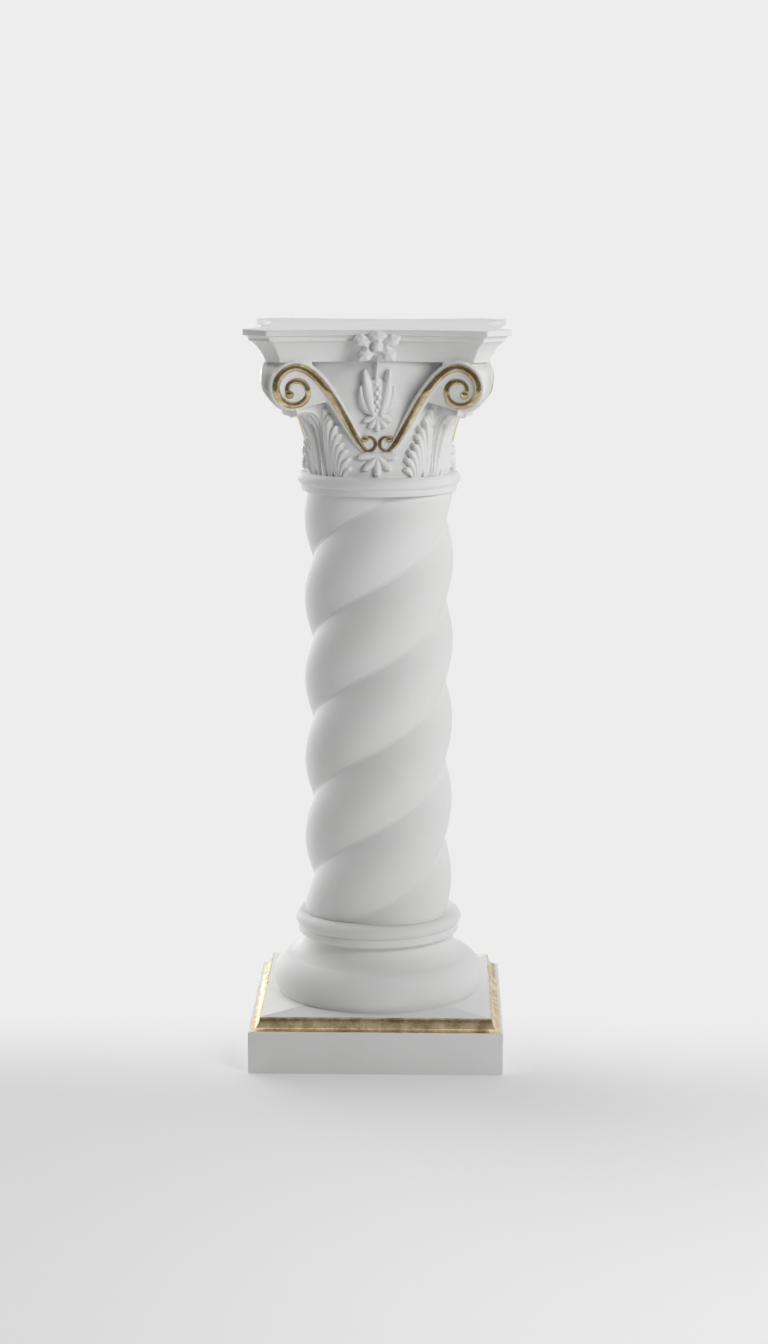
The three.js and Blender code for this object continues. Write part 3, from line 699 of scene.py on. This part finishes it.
def make_bell():
    half = ASTRAGAL_HEIGHT / 2
    bottom = CAPITAL_LOW.z
    roll_z = bottom + NECK_FILLET_HEIGHT + half
    roll = section(ASTRAGAL_RADIUS - half, roll_z, half, -60, 90, 20)
    edge = 0.8
    profile = [
        (NECK_FILLET_RADIUS - edge, bottom),
        (NECK_FILLET_RADIUS, bottom + edge),
        (NECK_FILLET_RADIUS, bottom + NECK_FILLET_HEIGHT - edge),
        *roll,
        (BELL_BOTTOM_RADIUS - BELL_IN_NECK, ASTRAGAL_TOP - edge),
    ]
    solid = Solid().loft(lathe(profile, TURNED_STEPS))
    rings = []
    for z in shares(24, ASTRAGAL_TOP - BELL_BELOW_NECK_TOP, BELL_TOP + BELL_IN_ABACUS):
        rings.append(
            [
                (bell_radius(z, a) * math.cos(a), bell_radius(z, a) * math.sin(a), z)
                for a in full_turn(BELL_STEPS)
            ]
        )
    solid.loft(rings)
    make_piece("capital_bell", solid, PLASTER, "capital")


# Abacus


def abacus_ring(inset, z):
    """The abacus in plan: four concave sides between cut corners."""
    half = ABACUS_WIDTH / 2 - inset
    end = half - ABACUS_CHAMFER + inset * math.tan(CORNER_TURN / 2)
    middle = half - ABACUS_SAGITTA
    ring = []
    for face in range(FACES):
        side = [
            (end * share, -(middle + ABACUS_SAGITTA * share**2), z)
            for share in shares(28, -1, 1)
        ]
        ring.extend(turned(side, face * math.pi / 2))
    return soften_corners(ring, ABACUS_CORNER)


def soften_corners(ring, reach):
    """The ring with each sharp corner cut by a short curve of the given reach."""
    straight = -0.95
    ring = np.asarray(ring, float)
    count = len(ring)
    out = []
    for i in range(count):
        before, here, after = ring[i - 1], ring[i], ring[(i + 1) % count]
        u = (before - here) / np.linalg.norm(before - here)
        v = (after - here) / np.linalg.norm(after - here)
        if np.dot(u, v) > straight:
            start, end = here + u * reach, here + v * reach
            for t in (0.0, 0.35, 0.65, 1.0):
                out.append((1 - t) ** 2 * start + 2 * t * (1 - t) * here + t * t * end)
        else:
            out.append(here)
    return out


def make_abacus():
    step_inset = ABACUS_SPLAY_INSET + ABACUS_STEP
    cavetto_top = BELL_TOP + ABACUS_CAVETTO_HEIGHT
    fillet_top = cavetto_top + ABACUS_STEP
    hollow_top = CAPITAL_TOP - ABACUS_FASCIA_SEEN
    soft = 0.35
    edge = 0.9
    levels = [(step_inset + ABACUS_CAVETTO_INSET + edge, BELL_TOP)]
    for turn in shares(14, 0, math.pi / 2):
        levels.append(
            (
                step_inset + ABACUS_CAVETTO_INSET * math.cos(turn) ** 1.5,
                BELL_TOP + soft + (ABACUS_CAVETTO_HEIGHT - soft) * math.sin(turn) ** 1.5,
            )
        )
    levels += [
        (step_inset, cavetto_top + soft),
        (ABACUS_SPLAY_INSET + soft, cavetto_top + soft * 2),
        (ABACUS_SPLAY_INSET, cavetto_top + soft * 3),
        (ABACUS_SPLAY_INSET, fillet_top),
        (ABACUS_SPLAY_INSET + soft, fillet_top + soft),
        *[
            (
                mix(ABACUS_SPLAY_INSET, ABACUS_UNDERCUT, 1 - math.cos(t)),
                mix(fillet_top + soft, hollow_top - soft, math.sin(t)),
            )
            for t in shares(6, 0.15, math.pi / 2)
        ],
        (soft, hollow_top),
        (0, hollow_top + soft),
        (0, CAPITAL_TOP - edge),
        (edge * 0.3, CAPITAL_TOP - edge * 0.3),
        (edge, CAPITAL_TOP),
        (edge * 4, CAPITAL_TOP),
    ]
    solid = Solid().loft([abacus_ring(inset, z) for inset, z in levels])
    make_piece("capital_abacus", solid, PLASTER, "capital", sharp_degrees=28)


# Scrolls


def volute_point(turns):
    angle = math.pi / 2 + turns * TAU
    radius = VOLUTE_RADIUS * VOLUTE_SHRINK_PER_TURN**turns
    return (
        -VOLUTE_FROM_MIDDLE + radius * math.cos(angle),
        EYE_Z + radius * math.sin(angle),
    )


def curl_point(turns):
    angle = -math.pi / 2 + turns * TAU
    radius = CURL_RADIUS * mix(1, CURL_END_SHARE, turns / CURL_TURNS)
    return (-CURL_FROM_MIDDLE + radius * math.cos(angle), CURL_Z + radius * math.sin(angle))


def long_s(share):
    top, bottom = volute_point(0), curl_point(0)
    a, b = np.array(top), np.array((top[0] + S_TOP_HANDLE, top[1]))
    d, c = np.array(bottom), np.array((bottom[0] - S_BOTTOM_HANDLE, bottom[1]))
    k = 1 - share
    return tuple(k**3 * a + 3 * k * k * share * b + 3 * k * share**2 * c + share**3 * d)


def stretch_half_width(share):
    return mix(RIB_HALF_WIDTH, RIB_CURL_HALF_WIDTH, share**3)


def scroll_stations(spiral_count=64, stretch_count=48, curl_count=22):
    """Points and half-widths along a scroll, from the volute's eye to the inner curl's end."""
    stations = []
    for turns in shares(spiral_count, VOLUTE_TURNS, 0):
        width = mix(RIB_HALF_WIDTH, RIB_EYE_HALF_WIDTH, turns / VOLUTE_TURNS)
        stations.append((volute_point(turns), width))
    for share in shares(stretch_count)[1:]:
        stations.append((long_s(share), stretch_half_width(share)))
    for turns in shares(curl_count, 0, CURL_TURNS)[1:]:
        stations.append((curl_point(turns), RIB_CURL_HALF_WIDTH))
    return stations


def across_at(stations, i):
    before = np.array(stations[max(i - 1, 0)][0])
    after = np.array(stations[min(i + 1, len(stations) - 1)][0])
    along = (after - before) / np.linalg.norm(after - before)
    return np.array((along[1], -along[0]))


def scroll_band(stations, outline):
    """Sweeps an outline of (side, proud) pairs, in half-widths and millimetres."""
    rings = []
    for i, (at, half) in enumerate(stations):
        across = across_at(stations, i)
        slim = (half / RIB_HALF_WIDTH) ** 1.4
        ring = []
        for side, proud in outline:
            x, z = np.array(at) + across * side * half
            ring.append(scroll_face(x, z, proud * slim))
        rings.append(ring)
    return rings


def gold_scroll():
    """The gold rib: a rounded ridge that ends in a small ball at the eye and at the curl."""
    outline = [(-GOLD_SIDE, -RIB_SEAT)]
    for turn in shares(14, math.pi, 0):
        high = RIB_SHOULDER + (1 - RIB_SHOULDER) * math.sin(turn) ** 0.9
        outline.append((GOLD_SIDE * math.cos(turn), RIB_PROUD * high))
    outline.append((GOLD_SIDE, -RIB_SEAT))
    stations = scroll_stations()
    solid = Solid().loft(scroll_band(stations, outline))
    for (at, half), size in ((stations[0], EYE_BALL), (stations[-1], CURL_BALL)):
        solid.extend(scroll_ball(at, half * size))
    return solid


def scroll_ball(at, radius):
    """A flattened ball on the scroll's face."""
    rings = []
    for turn in shares(8, -1.2, 1.45):
        ring = []
        for angle in full_turn(20):
            x = at[0] + radius * math.cos(turn) * math.cos(angle)
            z = at[1] + radius * math.cos(turn) * math.sin(angle)
            ring.append(scroll_face(x, z, RIB_PROUD * 0.25 + radius * 0.75 * math.sin(turn)))
        rings.append(ring)
    return Solid().loft(rings)


def make_gold_scrolls():
    half = gold_scroll()
    pair = Solid().extend(half).extend(half, mirror=True)
    make_piece("capital_gold_scrolls", pair.around(), GOLD, "capital", 60)


def white_scroll_bed():
    """The white margin that the gold rib lies in, a little wider and lower than the rib."""
    stations = scroll_stations(spiral_count=40, stretch_count=26, curl_count=10)
    return Solid().loft(scroll_band(stations, BED_OUTLINE))


def corner_block():
    """The body behind two scrolls that share a corner, from one face to the next."""
    centre = np.array((-VOLUTE_FROM_MIDDLE, EYE_Z))
    outline = []
    for turns in shares(40, BLOCK_FROM_TURNS, 0):
        point = np.array(volute_point(turns))
        out = (point - centre) / np.linalg.norm(point - centre)
        outline.append(point + out * RIB_HALF_WIDTH)

    def beside(share, side):
        """A point at the edge of the scroll's long stretch."""
        a = np.array(long_s(max(share - 0.01, 0)))
        b = np.array(long_s(min(share + 0.01, 1)))
        along = (b - a) / np.linalg.norm(b - a)
        half = stretch_half_width(share)
        return np.array(long_s(share)) + np.array((along[1], -along[0])) * side * half

    outline += [beside(share, -1) for share in shares(14, BLOCK_OUTER_FROM, BLOCK_INNER_TO)]
    outline.append(beside(BLOCK_INNER_TO, 1))
    last, first = outline[-1], outline[0]
    outline += [mix(last, first, share) for share in (0.33, 0.67)]
    rings = []
    for share in shares(24):
        groove = RIM_GROOVE * math.sin(share * math.pi) ** 0.5 * rim_groove(share)
        ring = []
        for x, z in outline:
            out = np.array((x, z)) - centre
            size = np.linalg.norm(out)
            keep = 1 - groove / max(size, 1.0)
            fx, fy, fz = scroll_face(*(centre + out * keep))
            ring.append((mix(fx, fy, share), mix(fy, fx, share), fz))
        rings.append(ring)
    return cap_by_triangles(rings)


def corner_core():
    """The scroll's wall on the bell and what fills the corner behind the block, in level slices."""
    rings = []
    behind_rib = 0.9

    def level_slice(share, z, outer, foot_out):
        inner = long_s(share)[0] + stretch_half_width(share) * behind_rib

        def on_bell(x):
            return np.array((x, SCROLL_SEAT - bell_radius(z), z))

        edge = np.array(scroll_face(outer, z))
        foot = mix(on_bell(outer), edge * (0, 1, 1) + (outer - SCROLL_SEAT, 0, 0), foot_out)
        front = [on_bell(inner), scroll_face(inner, z), edge, foot]
        side = [(y, x, h) for x, y, h in reversed(front)]
        inside = -bell_radius(z) * CORE_MIDDLE_SHARE
        rings.append([(inside, inside, z), *front, *side])

    for share in shares(22, WALL_FROM, BLOCK_INNER_TO):
        x, z = long_s(share)
        margin = SCROLL_MARGIN * (1 - share) + 1
        level_slice(share, z, x - stretch_half_width(share) - margin, 0)
    x, z = long_s(BLOCK_INNER_TO)
    level_slice(BLOCK_INNER_TO, z + 1, x - RIB_HALF_WIDTH, 1)
    level_slice(WALL_TOP, EYE_Z + VOLUTE_RADIUS, -VOLUTE_FROM_MIDDLE, 1)
    level_slice(WALL_TOP, BELL_TOP + 1, -VOLUTE_FROM_MIDDLE, 1)
    return Solid().loft(rings)


def rim_groove(share):
    """Depth share of the hollow that runs along the middle of the volute's rim."""
    return clamp01((math.sin(share * math.pi) - 0.35) / 0.4)


def cap_by_triangles(rings):
    """Skin through rings of any outline, its ends filled by ear cutting."""
    rings = np.asarray(rings, float)
    levels, count = rings.shape[:2]
    faces = wall_faces(levels, count)
    flat = [Vector((p[0], p[2], 0)) for p in rings[0]]
    ears = tessellate_polygon([flat])
    last = (levels - 1) * count
    faces += [tuple(reversed(ear)) for ear in ears]
    faces += [tuple(last + i for i in ear) for ear in ears]
    return Solid().add(rings.reshape(-1, 3), faces)


# Carved fingers: tapered ridges that leaves, buds and fans are made of


def finger(path, width, proud, place, stations=16, sides=10, seat=2.5, curl=0.0):
    """A ridge along a path of (u, v) points on a surface; place(u, v, proud) maps it to space.

    width and proud give the half-width and the height at a share of the length, and the tip
    rises by curl."""
    rings = []
    samples = [path(share) for share in shares(stations)]
    for i, (u, v) in enumerate(samples):
        share = i / stations
        before = np.array(samples[max(i - 1, 0)])
        after = np.array(samples[min(i + 1, stations)])
        along = (after - before) / max(np.linalg.norm(after - before), 1e-6)
        across = np.array((along[1], -along[0]))
        lifted = curl * share**4
        ring = []
        for turn in full_turn(sides):
            offset = across * width(share) * math.cos(turn)
            over = math.sin(turn)
            height = proud(share) * over + lifted if over > 0 else (seat + lifted) * over + lifted
            ring.append(place(u + offset[0], v + offset[1], height))
        rings.append(ring)
    return Solid().loft(rings)


def bent(start, control, end):
    start, control, end = map(np.array, (start, control, end))
    return lambda t: tuple((1 - t) ** 2 * start + 2 * t * (1 - t) * control + t * t * end)


def over_corner(around, rise, proud):
    """A point over the bell's corner, drawn at the front: millimetres around and above its foot."""
    z = ASTRAGAL_TOP + rise
    turn = around / bell_radius(z, CORNER_TURN)
    out = bell_radius(z, CORNER_TURN + turn) + proud
    return (out * math.sin(turn), -out * math.cos(turn), z)


def tongue_spine(along):
    """Distance out and height of the tongue's middle line, and its direction there."""
    foot = ASTRAGAL_TOP
    a = np.array((bell_radius(foot), foot))
    b = np.array((bell_radius(foot) + TONGUE_LEAN, foot + TONGUE_RISE * 0.8))
    c = np.array((mix(BELL_BOTTOM_RADIUS, TONGUE_REACH, 0.35), foot + TONGUE_RISE * 1.12))
    d = np.array((TONGUE_REACH, foot + TONGUE_RISE - TONGUE_TIP_DROP))
    k = 1 - along
    point = k**3 * a + 3 * k * k * along * b + 3 * k * along**2 * c + along**3 * d
    slope = 3 * (k * k * (b - a) + 2 * k * along * (c - b) + along**2 * (d - c))
    return point, slope / np.linalg.norm(slope)


def over_tongue(across, along, proud):
    """A point over the tongue: share of its half-width across, share of the spine along."""
    held = clamp01(along)
    point, tangent = tongue_spine(held)
    point = point + tangent * (along - held) * TONGUE_RISE
    side = across * mix(TONGUE_FOOT_HALF_WIDTH, TONGUE_TIP_HALF_WIDTH, held)
    proud -= TONGUE_CROWN * across**2
    return (side, -(point[0] + proud * tangent[1]), point[1] - proud * tangent[0])


# Fingers of half a leaf in lobes that fan from the stem, with an open eye under each lobe: place
# around and height at the root, at the bend and at the tip, in millimetres.
LEAF_LOBES = (
    (
        ((8, 72), (8, 86), (8.5, 101)),
        ((10, 70), (11, 88), (15.5, 99)),
        ((12, 67), (15, 84), (21, 91)),
        ((12, 62), (17, 76), (24, 82)),
    ),
    (
        ((8, -2), (9, 56), (19, 77)),
        ((10.5, -2), (12.5, 58), (26, 78)),
        ((13, -2), (17, 52), (32, 69)),
        ((15, 8), (20, 46), (34.5, 58)),
    ),
    (
        ((18, -2), (18.5, 32), (29, 50)),
        ((20.5, -2), (22, 32), (36.5, 46)),
        ((23, -2), (26, 26), (41.5, 37)),
        ((26, -2), (30, 18), (44, 26)),
        ((29.5, -2), (34, 8), (43, 13)),
    ),
)


def tapered(share):
    """One along a finger, and small at its round tip."""
    return math.sqrt(max(1 - share**8, 0.03))


def swelling(root, full, share):
    """Half-width of a finger that is full a little before its tip."""
    return mix(root, full, math.sin(min(share * 1.1, 1) * math.pi / 2))


def acanthus_leaf():
    solid = Solid()
    for side in (-1, 1):
        for lobe in LEAF_LOBES:
            for order, (root, bend, tip) in enumerate(lobe):
                reach = order / (len(lobe) - 1)
                crest = 1 - abs(reach - LEAF_CREST_AT)
                high = LEAF_PROUD_TIP + LEAF_PROUD_CREST * crest
                path = bent(*((side * around, rise) for around, rise in (root, bend, tip)))
                solid.extend(
                    finger(
                        path,
                        lambda t: swelling(LEAF_WIDTH_ROOT, LEAF_WIDTH_FULL, t) * tapered(t),
                        lambda t, high=high: mix(LEAF_PROUD_ROOT, high, t) * tapered(t),
                        over_corner,
                        stations=22,
                        sides=12,
                        seat=FINGER_SEAT,
                        curl=LEAF_CURL + LEAF_CURL_CREST * crest,
                    )
                )
    rings = []
    for along in shares(30):
        front = [over_tongue(s, along, mix(1.5, 4.5, along)) for s in shares(12, -1, 1)]
        back = [over_tongue(s, along, -TONGUE_THICKNESS) for s in shares(4, 1, -1)]
        rings.append(front + back)
    solid.loft(rings)
    for across in TONGUE_RIBS:
        high = TONGUE_RIB_PROUD - TONGUE_RIB_FALL * abs(across)
        solid.extend(
            finger(
                lambda t, across=across: (across, t * (1.03 - 0.09 * abs(across))),
                lambda t: mix(0.15, 0.17, t) * tapered(t),
                lambda t, high=high: high * tapered(t),
                over_tongue,
                stations=34,
                sides=12,
                seat=FINGER_SEAT,
                curl=LEAF_CURL,
            )
        )
    return solid


def make_corners():
    bed = white_scroll_bed()
    corner = Solid().extend(corner_block()).extend(corner_core())
    corner.extend(bed)
    mirrored = Solid()
    swapped = [(y, x, z) for x, y, z in bed.points]
    mirrored.add(swapped, [face[::-1] for face in bed.faces])
    corner.extend(mirrored)
    corner.extend(acanthus_leaf(), -CORNER_TURN)
    make_moulded("capital_corners", corner, CORNER_VOXEL, CORNER_TRIANGLES)


# Ornaments at the middle of each face


def fan(top, height, spread_degrees, half_width, curl):
    """Fingers that hang from one point and spread like a fan."""
    solid = Solid()
    limit = math.radians(spread_degrees)
    for angle in shares(FAN_LEAVES - 1, -limit, limit):
        reach = height * mix(1.0, 0.88, abs(angle) / limit)
        tip = (reach * math.sin(angle), top - reach * math.cos(angle))
        control = (tip[0] * 0.3, top - reach * math.cos(angle) * 0.6)
        solid.extend(
            finger(
                bent((0, top), control, tip),
                lambda t: swelling(1.5, half_width, t) * math.sqrt(max(1 - t**6, 0.02)),
                lambda t: mix(FAN_PROUD * 0.7, FAN_PROUD, t) * math.sqrt(max(1 - t**6, 0.03)),
                over_bell,
                stations=14,
                sides=12,
                curl=curl,
            )
        )
    return solid


def face_flowers():
    """The bud that hangs under the flower, with its husks and beads, and two fans of leaves."""
    solid = Solid()

    def petal(start, control, end, width, proud, tip=0.0):
        solid.extend(
            finger(
                bent(start, control, end),
                lambda t: width * math.sin(math.pi * mix(0.14, 0.95, t)) ** 0.75,
                lambda t: proud * math.sin(math.pi * mix(0.2, 0.8, t)) ** 0.6,
                over_bell,
                stations=22,
                sides=14,
                seat=FINGER_SEAT,
                curl=tip,
            )
        )

    rings = []
    for rise in shares(16, -1.35, 1.45):
        z = mix(BUD_BOTTOM - 1, BUD_TOP - 12, 0.5 + 0.5 * math.sin(rise))
        half = BUD_HALF_WIDTH * math.cos(rise)
        ring = []
        for turn in full_turn(28):
            over = math.sin(turn)
            proud = (BUD_PROUD if over > 0 else BUD_SEAT) * over * math.cos(rise) ** 0.5
            ring.append(over_bell(half * math.cos(turn), z, proud))
        rings.append(ring)
    solid.loft(rings)
    for side in (-1, 1):
        # Outer husk and the petal inside it, whose edge lies along the seam
        husk = ((5, BUD_BOTTOM + 3), (20, BUD_WAIST - 12), (20, BUD_WAIST + 18))
        inner = ((4, BUD_BOTTOM), (12, BUD_WAIST + 2), (15, BUD_TOP))
        petal(*((side * around, z) for around, z in husk), 7.0, 9.5, tip=3)
        petal(*((side * around, z) for around, z in inner), 7.6, 13.0, tip=3)
    petal((-1, BELL_TOP - 24), (-0.4, BELL_TOP - 12), (0, BELL_TOP + 4), 3.2, 9.5)
    for number, share in enumerate(shares(BUD_BEADS - 1)):
        z = mix(BUD_WAIST - 15, BUD_WAIST + 20, share)
        size = mix(2.2, 3.4, math.sin(share * math.pi))
        sway = 1.4 if number % 2 else -1.2
        ends = (sway, z - size), (sway * 1.3, z), (sway, z + size)
        petal(*ends, size, BUD_BEAD_PROUD + size)
    for row in FANS:
        solid.extend(fan(*row))
    return solid


# Petals of the flower: place of the middle, half-width, half-height, turn in degrees and lean
PETALS = (
    (-0.5, 12.2, 13.0, 8.4, 4, 0.5),
    (18.0, 6.8, 13.5, 8.6, 24, 1.2),
    (14.5, -10.0, 12.5, 9.2, -36, 0.6),
    (-15.0, -10.0, 12.5, 9.0, 36, -0.6),
    (-18.5, 6.6, 13.5, 8.4, -22, -1.2),
)


def fleuron():
    """Flower of five ruffled petals round a button, over the middle of the abacus side."""
    face_y = ABACUS_WIDTH / 2 - ABACUS_SAGITTA
    middle_z = (BELL_TOP + CAPITAL_TOP) / 2
    solid = Solid()

    def dome(x0, z0, wide, high, turn_degrees, lean, base, proud, ruffles, depth, phase=0.0):
        """A low round lump with a ruffled rim, leaning to one side."""
        turn = math.radians(turn_degrees)
        c, s = math.cos(turn), math.sin(turn)
        rings = []
        for level in shares(16, -1.3, 1.5):
            r = math.cos(level)
            ring = []
            for angle in full_turn(40):
                ruffle = 1 + depth * math.sin(ruffles * angle + phase) * r
                u = wide * r * math.cos(angle) * ruffle
                v = high * r * math.sin(angle) * ruffle
                vein = 0.9 * math.cos(ruffles * angle + phase) * r if level > 0 else 0.0
                out = base + proud * math.sin(level) + vein + lean * math.cos(angle) * r
                out = max(out, -PETAL_SEAT)
                ring.append((x0 + u * c - v * s, -(face_y + out), middle_z + z0 + u * s + v * c))
            rings.append(ring)
        solid.loft(rings, flip=True)

    for number, (x0, z0, wide, high, turn, lean) in enumerate(PETALS):
        dome(x0, z0, wide, high, turn, lean, 1.0, 8.5, 5, 0.07, number)
    dome(0, 0, 7.6, 7.2, 0, 0.0, 6.5, 7.5, 6, 0.04)
    stalk = []
    for depth in (-STALK_LENGTH, 0.5):
        ring = []
        for a in full_turn(20):
            x, z = STALK_HALF_WIDTH * math.cos(a), middle_z + STALK_HALF_HEIGHT * math.sin(a)
            ring.append((x, -(face_y + depth), z))
        stalk.append(ring)
    solid.loft(stalk, flip=True)
    return solid


def make_face_flowers():
    make_moulded("capital_buds", face_flowers(), FLOWER_VOXEL, BUD_TRIANGLES)
    make_moulded("capital_fleurons", fleuron(), FLOWER_VOXEL, FLEURON_TRIANGLES)


make_base()
make_gold_cove()
make_shaft()
make_bell()
make_abacus()
make_corners()
make_gold_scrolls()
make_face_flowers()


# Floor, light and camera

BACKDROP_LIGHT = 0.845
BACKDROP_COLOUR = (1, 1, 1.004, 1)
FLOOR_REACH = 60.0
FLOOR_WHITENESS = 0.86
FLOOR_DARKNESS = 0.12
FLOOR_SEEN = 0.87

# Places along Y, in metres, between which the floor changes: into the backdrop, and into the dark
# in front as the plaster and as the gold see it
FADE_START, FADE_END = -0.32, 0.12
DUSK_START, DUSK_END = -2.4, -1.3
MIRRORED_DUSK_START, MIRRORED_DUSK_END = -1.15, -0.5

# Glows: azimuth from the front and elevation in degrees, cosines at the rim and core, strength
CEILING_GLOW = (0, 70, 0.25, 0.9, 0.42)
ROOM_GLOWS = (
    (180, 6, -0.1, 0.3, 0.98),
    (62, 5, 0.62, 0.96, 0.5),
    (-135, 2, 0.7, 0.97, 3.9),
)
AMBIENT_LIGHT = 0.06
KEY_SIZE = 0.9
KEY_POWER = 16
KEY_AZIMUTH = 37
KEY_AWAY = 1.75
KEY_HEIGHT = 1.45
KEY_AIM = 0.85

# Colour sockets of a mix node
MIX_A, MIX_B, MIX_RESULT = 6, 7, 2


def make_floor():
    """A pale floor that fades into the light of the backdrop behind the pedestal."""
    mesh = bpy.data.meshes.new("floor")
    reach = FLOOR_REACH
    corners = [(-reach, -reach, 0), (reach, -reach, 0), (reach, reach, 0), (-reach, reach, 0)]
    mesh.from_pydata(corners, [], [(0, 1, 2, 3)])
    material = bpy.data.materials.new("floor")
    nodes = material_nodes(material)
    nodes.shader.inputs["Roughness"].default_value = 0.8
    nodes.shader.inputs["Specular IOR Level"].default_value = 0.1
    backdrop = nodes.node("ShaderNodeEmission")
    backdrop.inputs["Strength"].default_value = BACKDROP_LIGHT
    place = nodes.node("ShaderNodeSeparateXYZ")
    nodes.link(nodes.coordinates, "Object", place, "Vector")
    seen = nodes.node("ShaderNodeLightPath")

    def shade(start, end):
        """Floor colour that darkens towards the camera, from end to start."""
        dusk = nodes.fade(place, "Y", start, end)
        dark, white = FLOOR_DARKNESS, FLOOR_WHITENESS
        return nodes.ramp(dusk, [(0.0, (dark,) * 3), (1.0, (white,) * 3)], output="Result")

    mirrored = nodes.node("ShaderNodeMix", data_type="RGBA")
    nodes.link(seen, "Is Glossy Ray", mirrored, "Factor")
    nodes.link(shade(DUSK_START, DUSK_END), "Color", mirrored, MIX_A)
    nodes.link(shade(MIRRORED_DUSK_START, MIRRORED_DUSK_END), "Color", mirrored, MIX_B)
    pale = nodes.node("ShaderNodeMix", data_type="RGBA")
    pale.inputs[MIX_B].default_value = (FLOOR_SEEN, FLOOR_SEEN, FLOOR_SEEN, 1)
    nodes.link(seen, "Is Camera Ray", pale, "Factor")
    nodes.link(mirrored, MIX_RESULT, pale, MIX_A)
    nodes.link(pale, MIX_RESULT, nodes.shader, "Base Color")
    blend = nodes.node("ShaderNodeMixShader")
    nodes.link(nodes.fade(place, "Y", FADE_START, FADE_END), "Result", blend, "Fac")
    nodes.link(nodes.shader, "BSDF", blend, 1)
    nodes.link(backdrop, "Emission", blend, 2)
    nodes.link(blend, "Shader", nodes.output, "Surface")
    mesh.materials.append(material)
    floor = bpy.data.objects.new("floor", mesh)
    bpy.context.scene.collection.objects.link(floor)


def make_world():
    """Soft light from the right, a bright backdrop and a dark room in front."""
    world = bpy.data.worlds.new("studio")
    bpy.context.scene.world = world
    nodes = Nodes(world, "ShaderNodeOutputWorld", "ShaderNodeMixShader")
    lit = nodes.node("ShaderNodeBackground")
    seen = nodes.node("ShaderNodeBackground")
    seen.inputs["Color"].default_value = BACKDROP_COLOUR
    seen.inputs["Strength"].default_value = BACKDROP_LIGHT
    path = nodes.node("ShaderNodeLightPath")
    nodes.link(path, "Is Camera Ray", nodes.shader, "Fac")
    nodes.link(lit, "Background", nodes.shader, 1)
    nodes.link(seen, "Background", nodes.shader, 2)

    def glow(azimuth, elevation, start, end, strength):
        """Light from around a direction, fading from start to end of the angle's cosine."""
        a, e = math.radians(azimuth), math.radians(elevation)
        direction = (math.sin(a) * math.cos(e), -math.cos(a) * math.cos(e), math.sin(e))
        dot = nodes.node("ShaderNodeVectorMath", operation="DOT_PRODUCT")
        dot.inputs[1].default_value = direction
        nodes.link(nodes.coordinates, "Generated", dot, 0)
        return nodes.fade(dot, "Value", start, end, strength)

    # The ceiling is seen in reflections alone and lights nothing.
    mirrored = nodes.node("ShaderNodeMath", operation="MULTIPLY")
    nodes.link(glow(*CEILING_GLOW), "Result", mirrored, 0)
    nodes.link(path, "Is Glossy Ray", mirrored, 1)
    total = nodes.node("ShaderNodeMath", operation="ADD")
    total.inputs[1].default_value = AMBIENT_LIGHT
    nodes.link(mirrored, "Value", total, 0)
    for row in ROOM_GLOWS:
        more = nodes.node("ShaderNodeMath", operation="ADD")
        nodes.link(glow(*row), "Result", more, 0)
        nodes.link(total, "Value", more, 1)
        total = more
    nodes.link(total, "Value", lit, "Strength")


def make_key():
    """A softbox to the right of the camera, at the height of the capital."""
    light = bpy.data.lights.new("key", "AREA")
    light.shape = "DISK"
    light.size = KEY_SIZE
    light.energy = KEY_POWER
    holder = bpy.data.objects.new("key", light)
    bpy.context.scene.collection.objects.link(holder)
    turn = math.radians(KEY_AZIMUTH)
    place = Vector((KEY_AWAY * math.sin(turn), -KEY_AWAY * math.cos(turn), KEY_HEIGHT))
    holder.location = place
    holder.visible_glossy = False
    aim = Vector((0, 0, KEY_AIM)) - place
    holder.rotation_euler = aim.to_track_quat("-Z", "Y").to_euler()


def make_camera():
    camera = bpy.data.cameras.new("camera")
    camera.sensor_fit = "AUTO"
    camera.sensor_width = SENSOR_WIDTH
    camera.lens = camera.sensor_width * FOCAL_PX / PHOTO_HEIGHT
    level_right = Vector((math.cos(CAMERA_YAW), math.sin(CAMERA_YAW), 0))
    level_ahead = Vector((-math.sin(CAMERA_YAW), math.cos(CAMERA_YAW), 0))
    above = Vector((0, 0, 1))
    ahead = math.cos(CAMERA_PITCH) * level_ahead - math.sin(CAMERA_PITCH) * above
    up = math.sin(CAMERA_PITCH) * level_ahead + math.cos(CAMERA_PITCH) * above
    right = math.cos(CAMERA_ROLL) * level_right + math.sin(CAMERA_ROLL) * up
    up = math.cos(CAMERA_ROLL) * up - math.sin(CAMERA_ROLL) * level_right
    pose = Matrix((right, up, -ahead)).transposed().to_4x4()
    pose.translation = CAMERA_PLACE
    holder = bpy.data.objects.new("camera", camera)
    bpy.context.scene.collection.objects.link(holder)
    holder.matrix_world = pose
    bpy.context.scene.camera = holder


make_floor()
make_world()
make_key()
make_camera()
bpy.context.scene.view_settings.view_transform = "Standard"
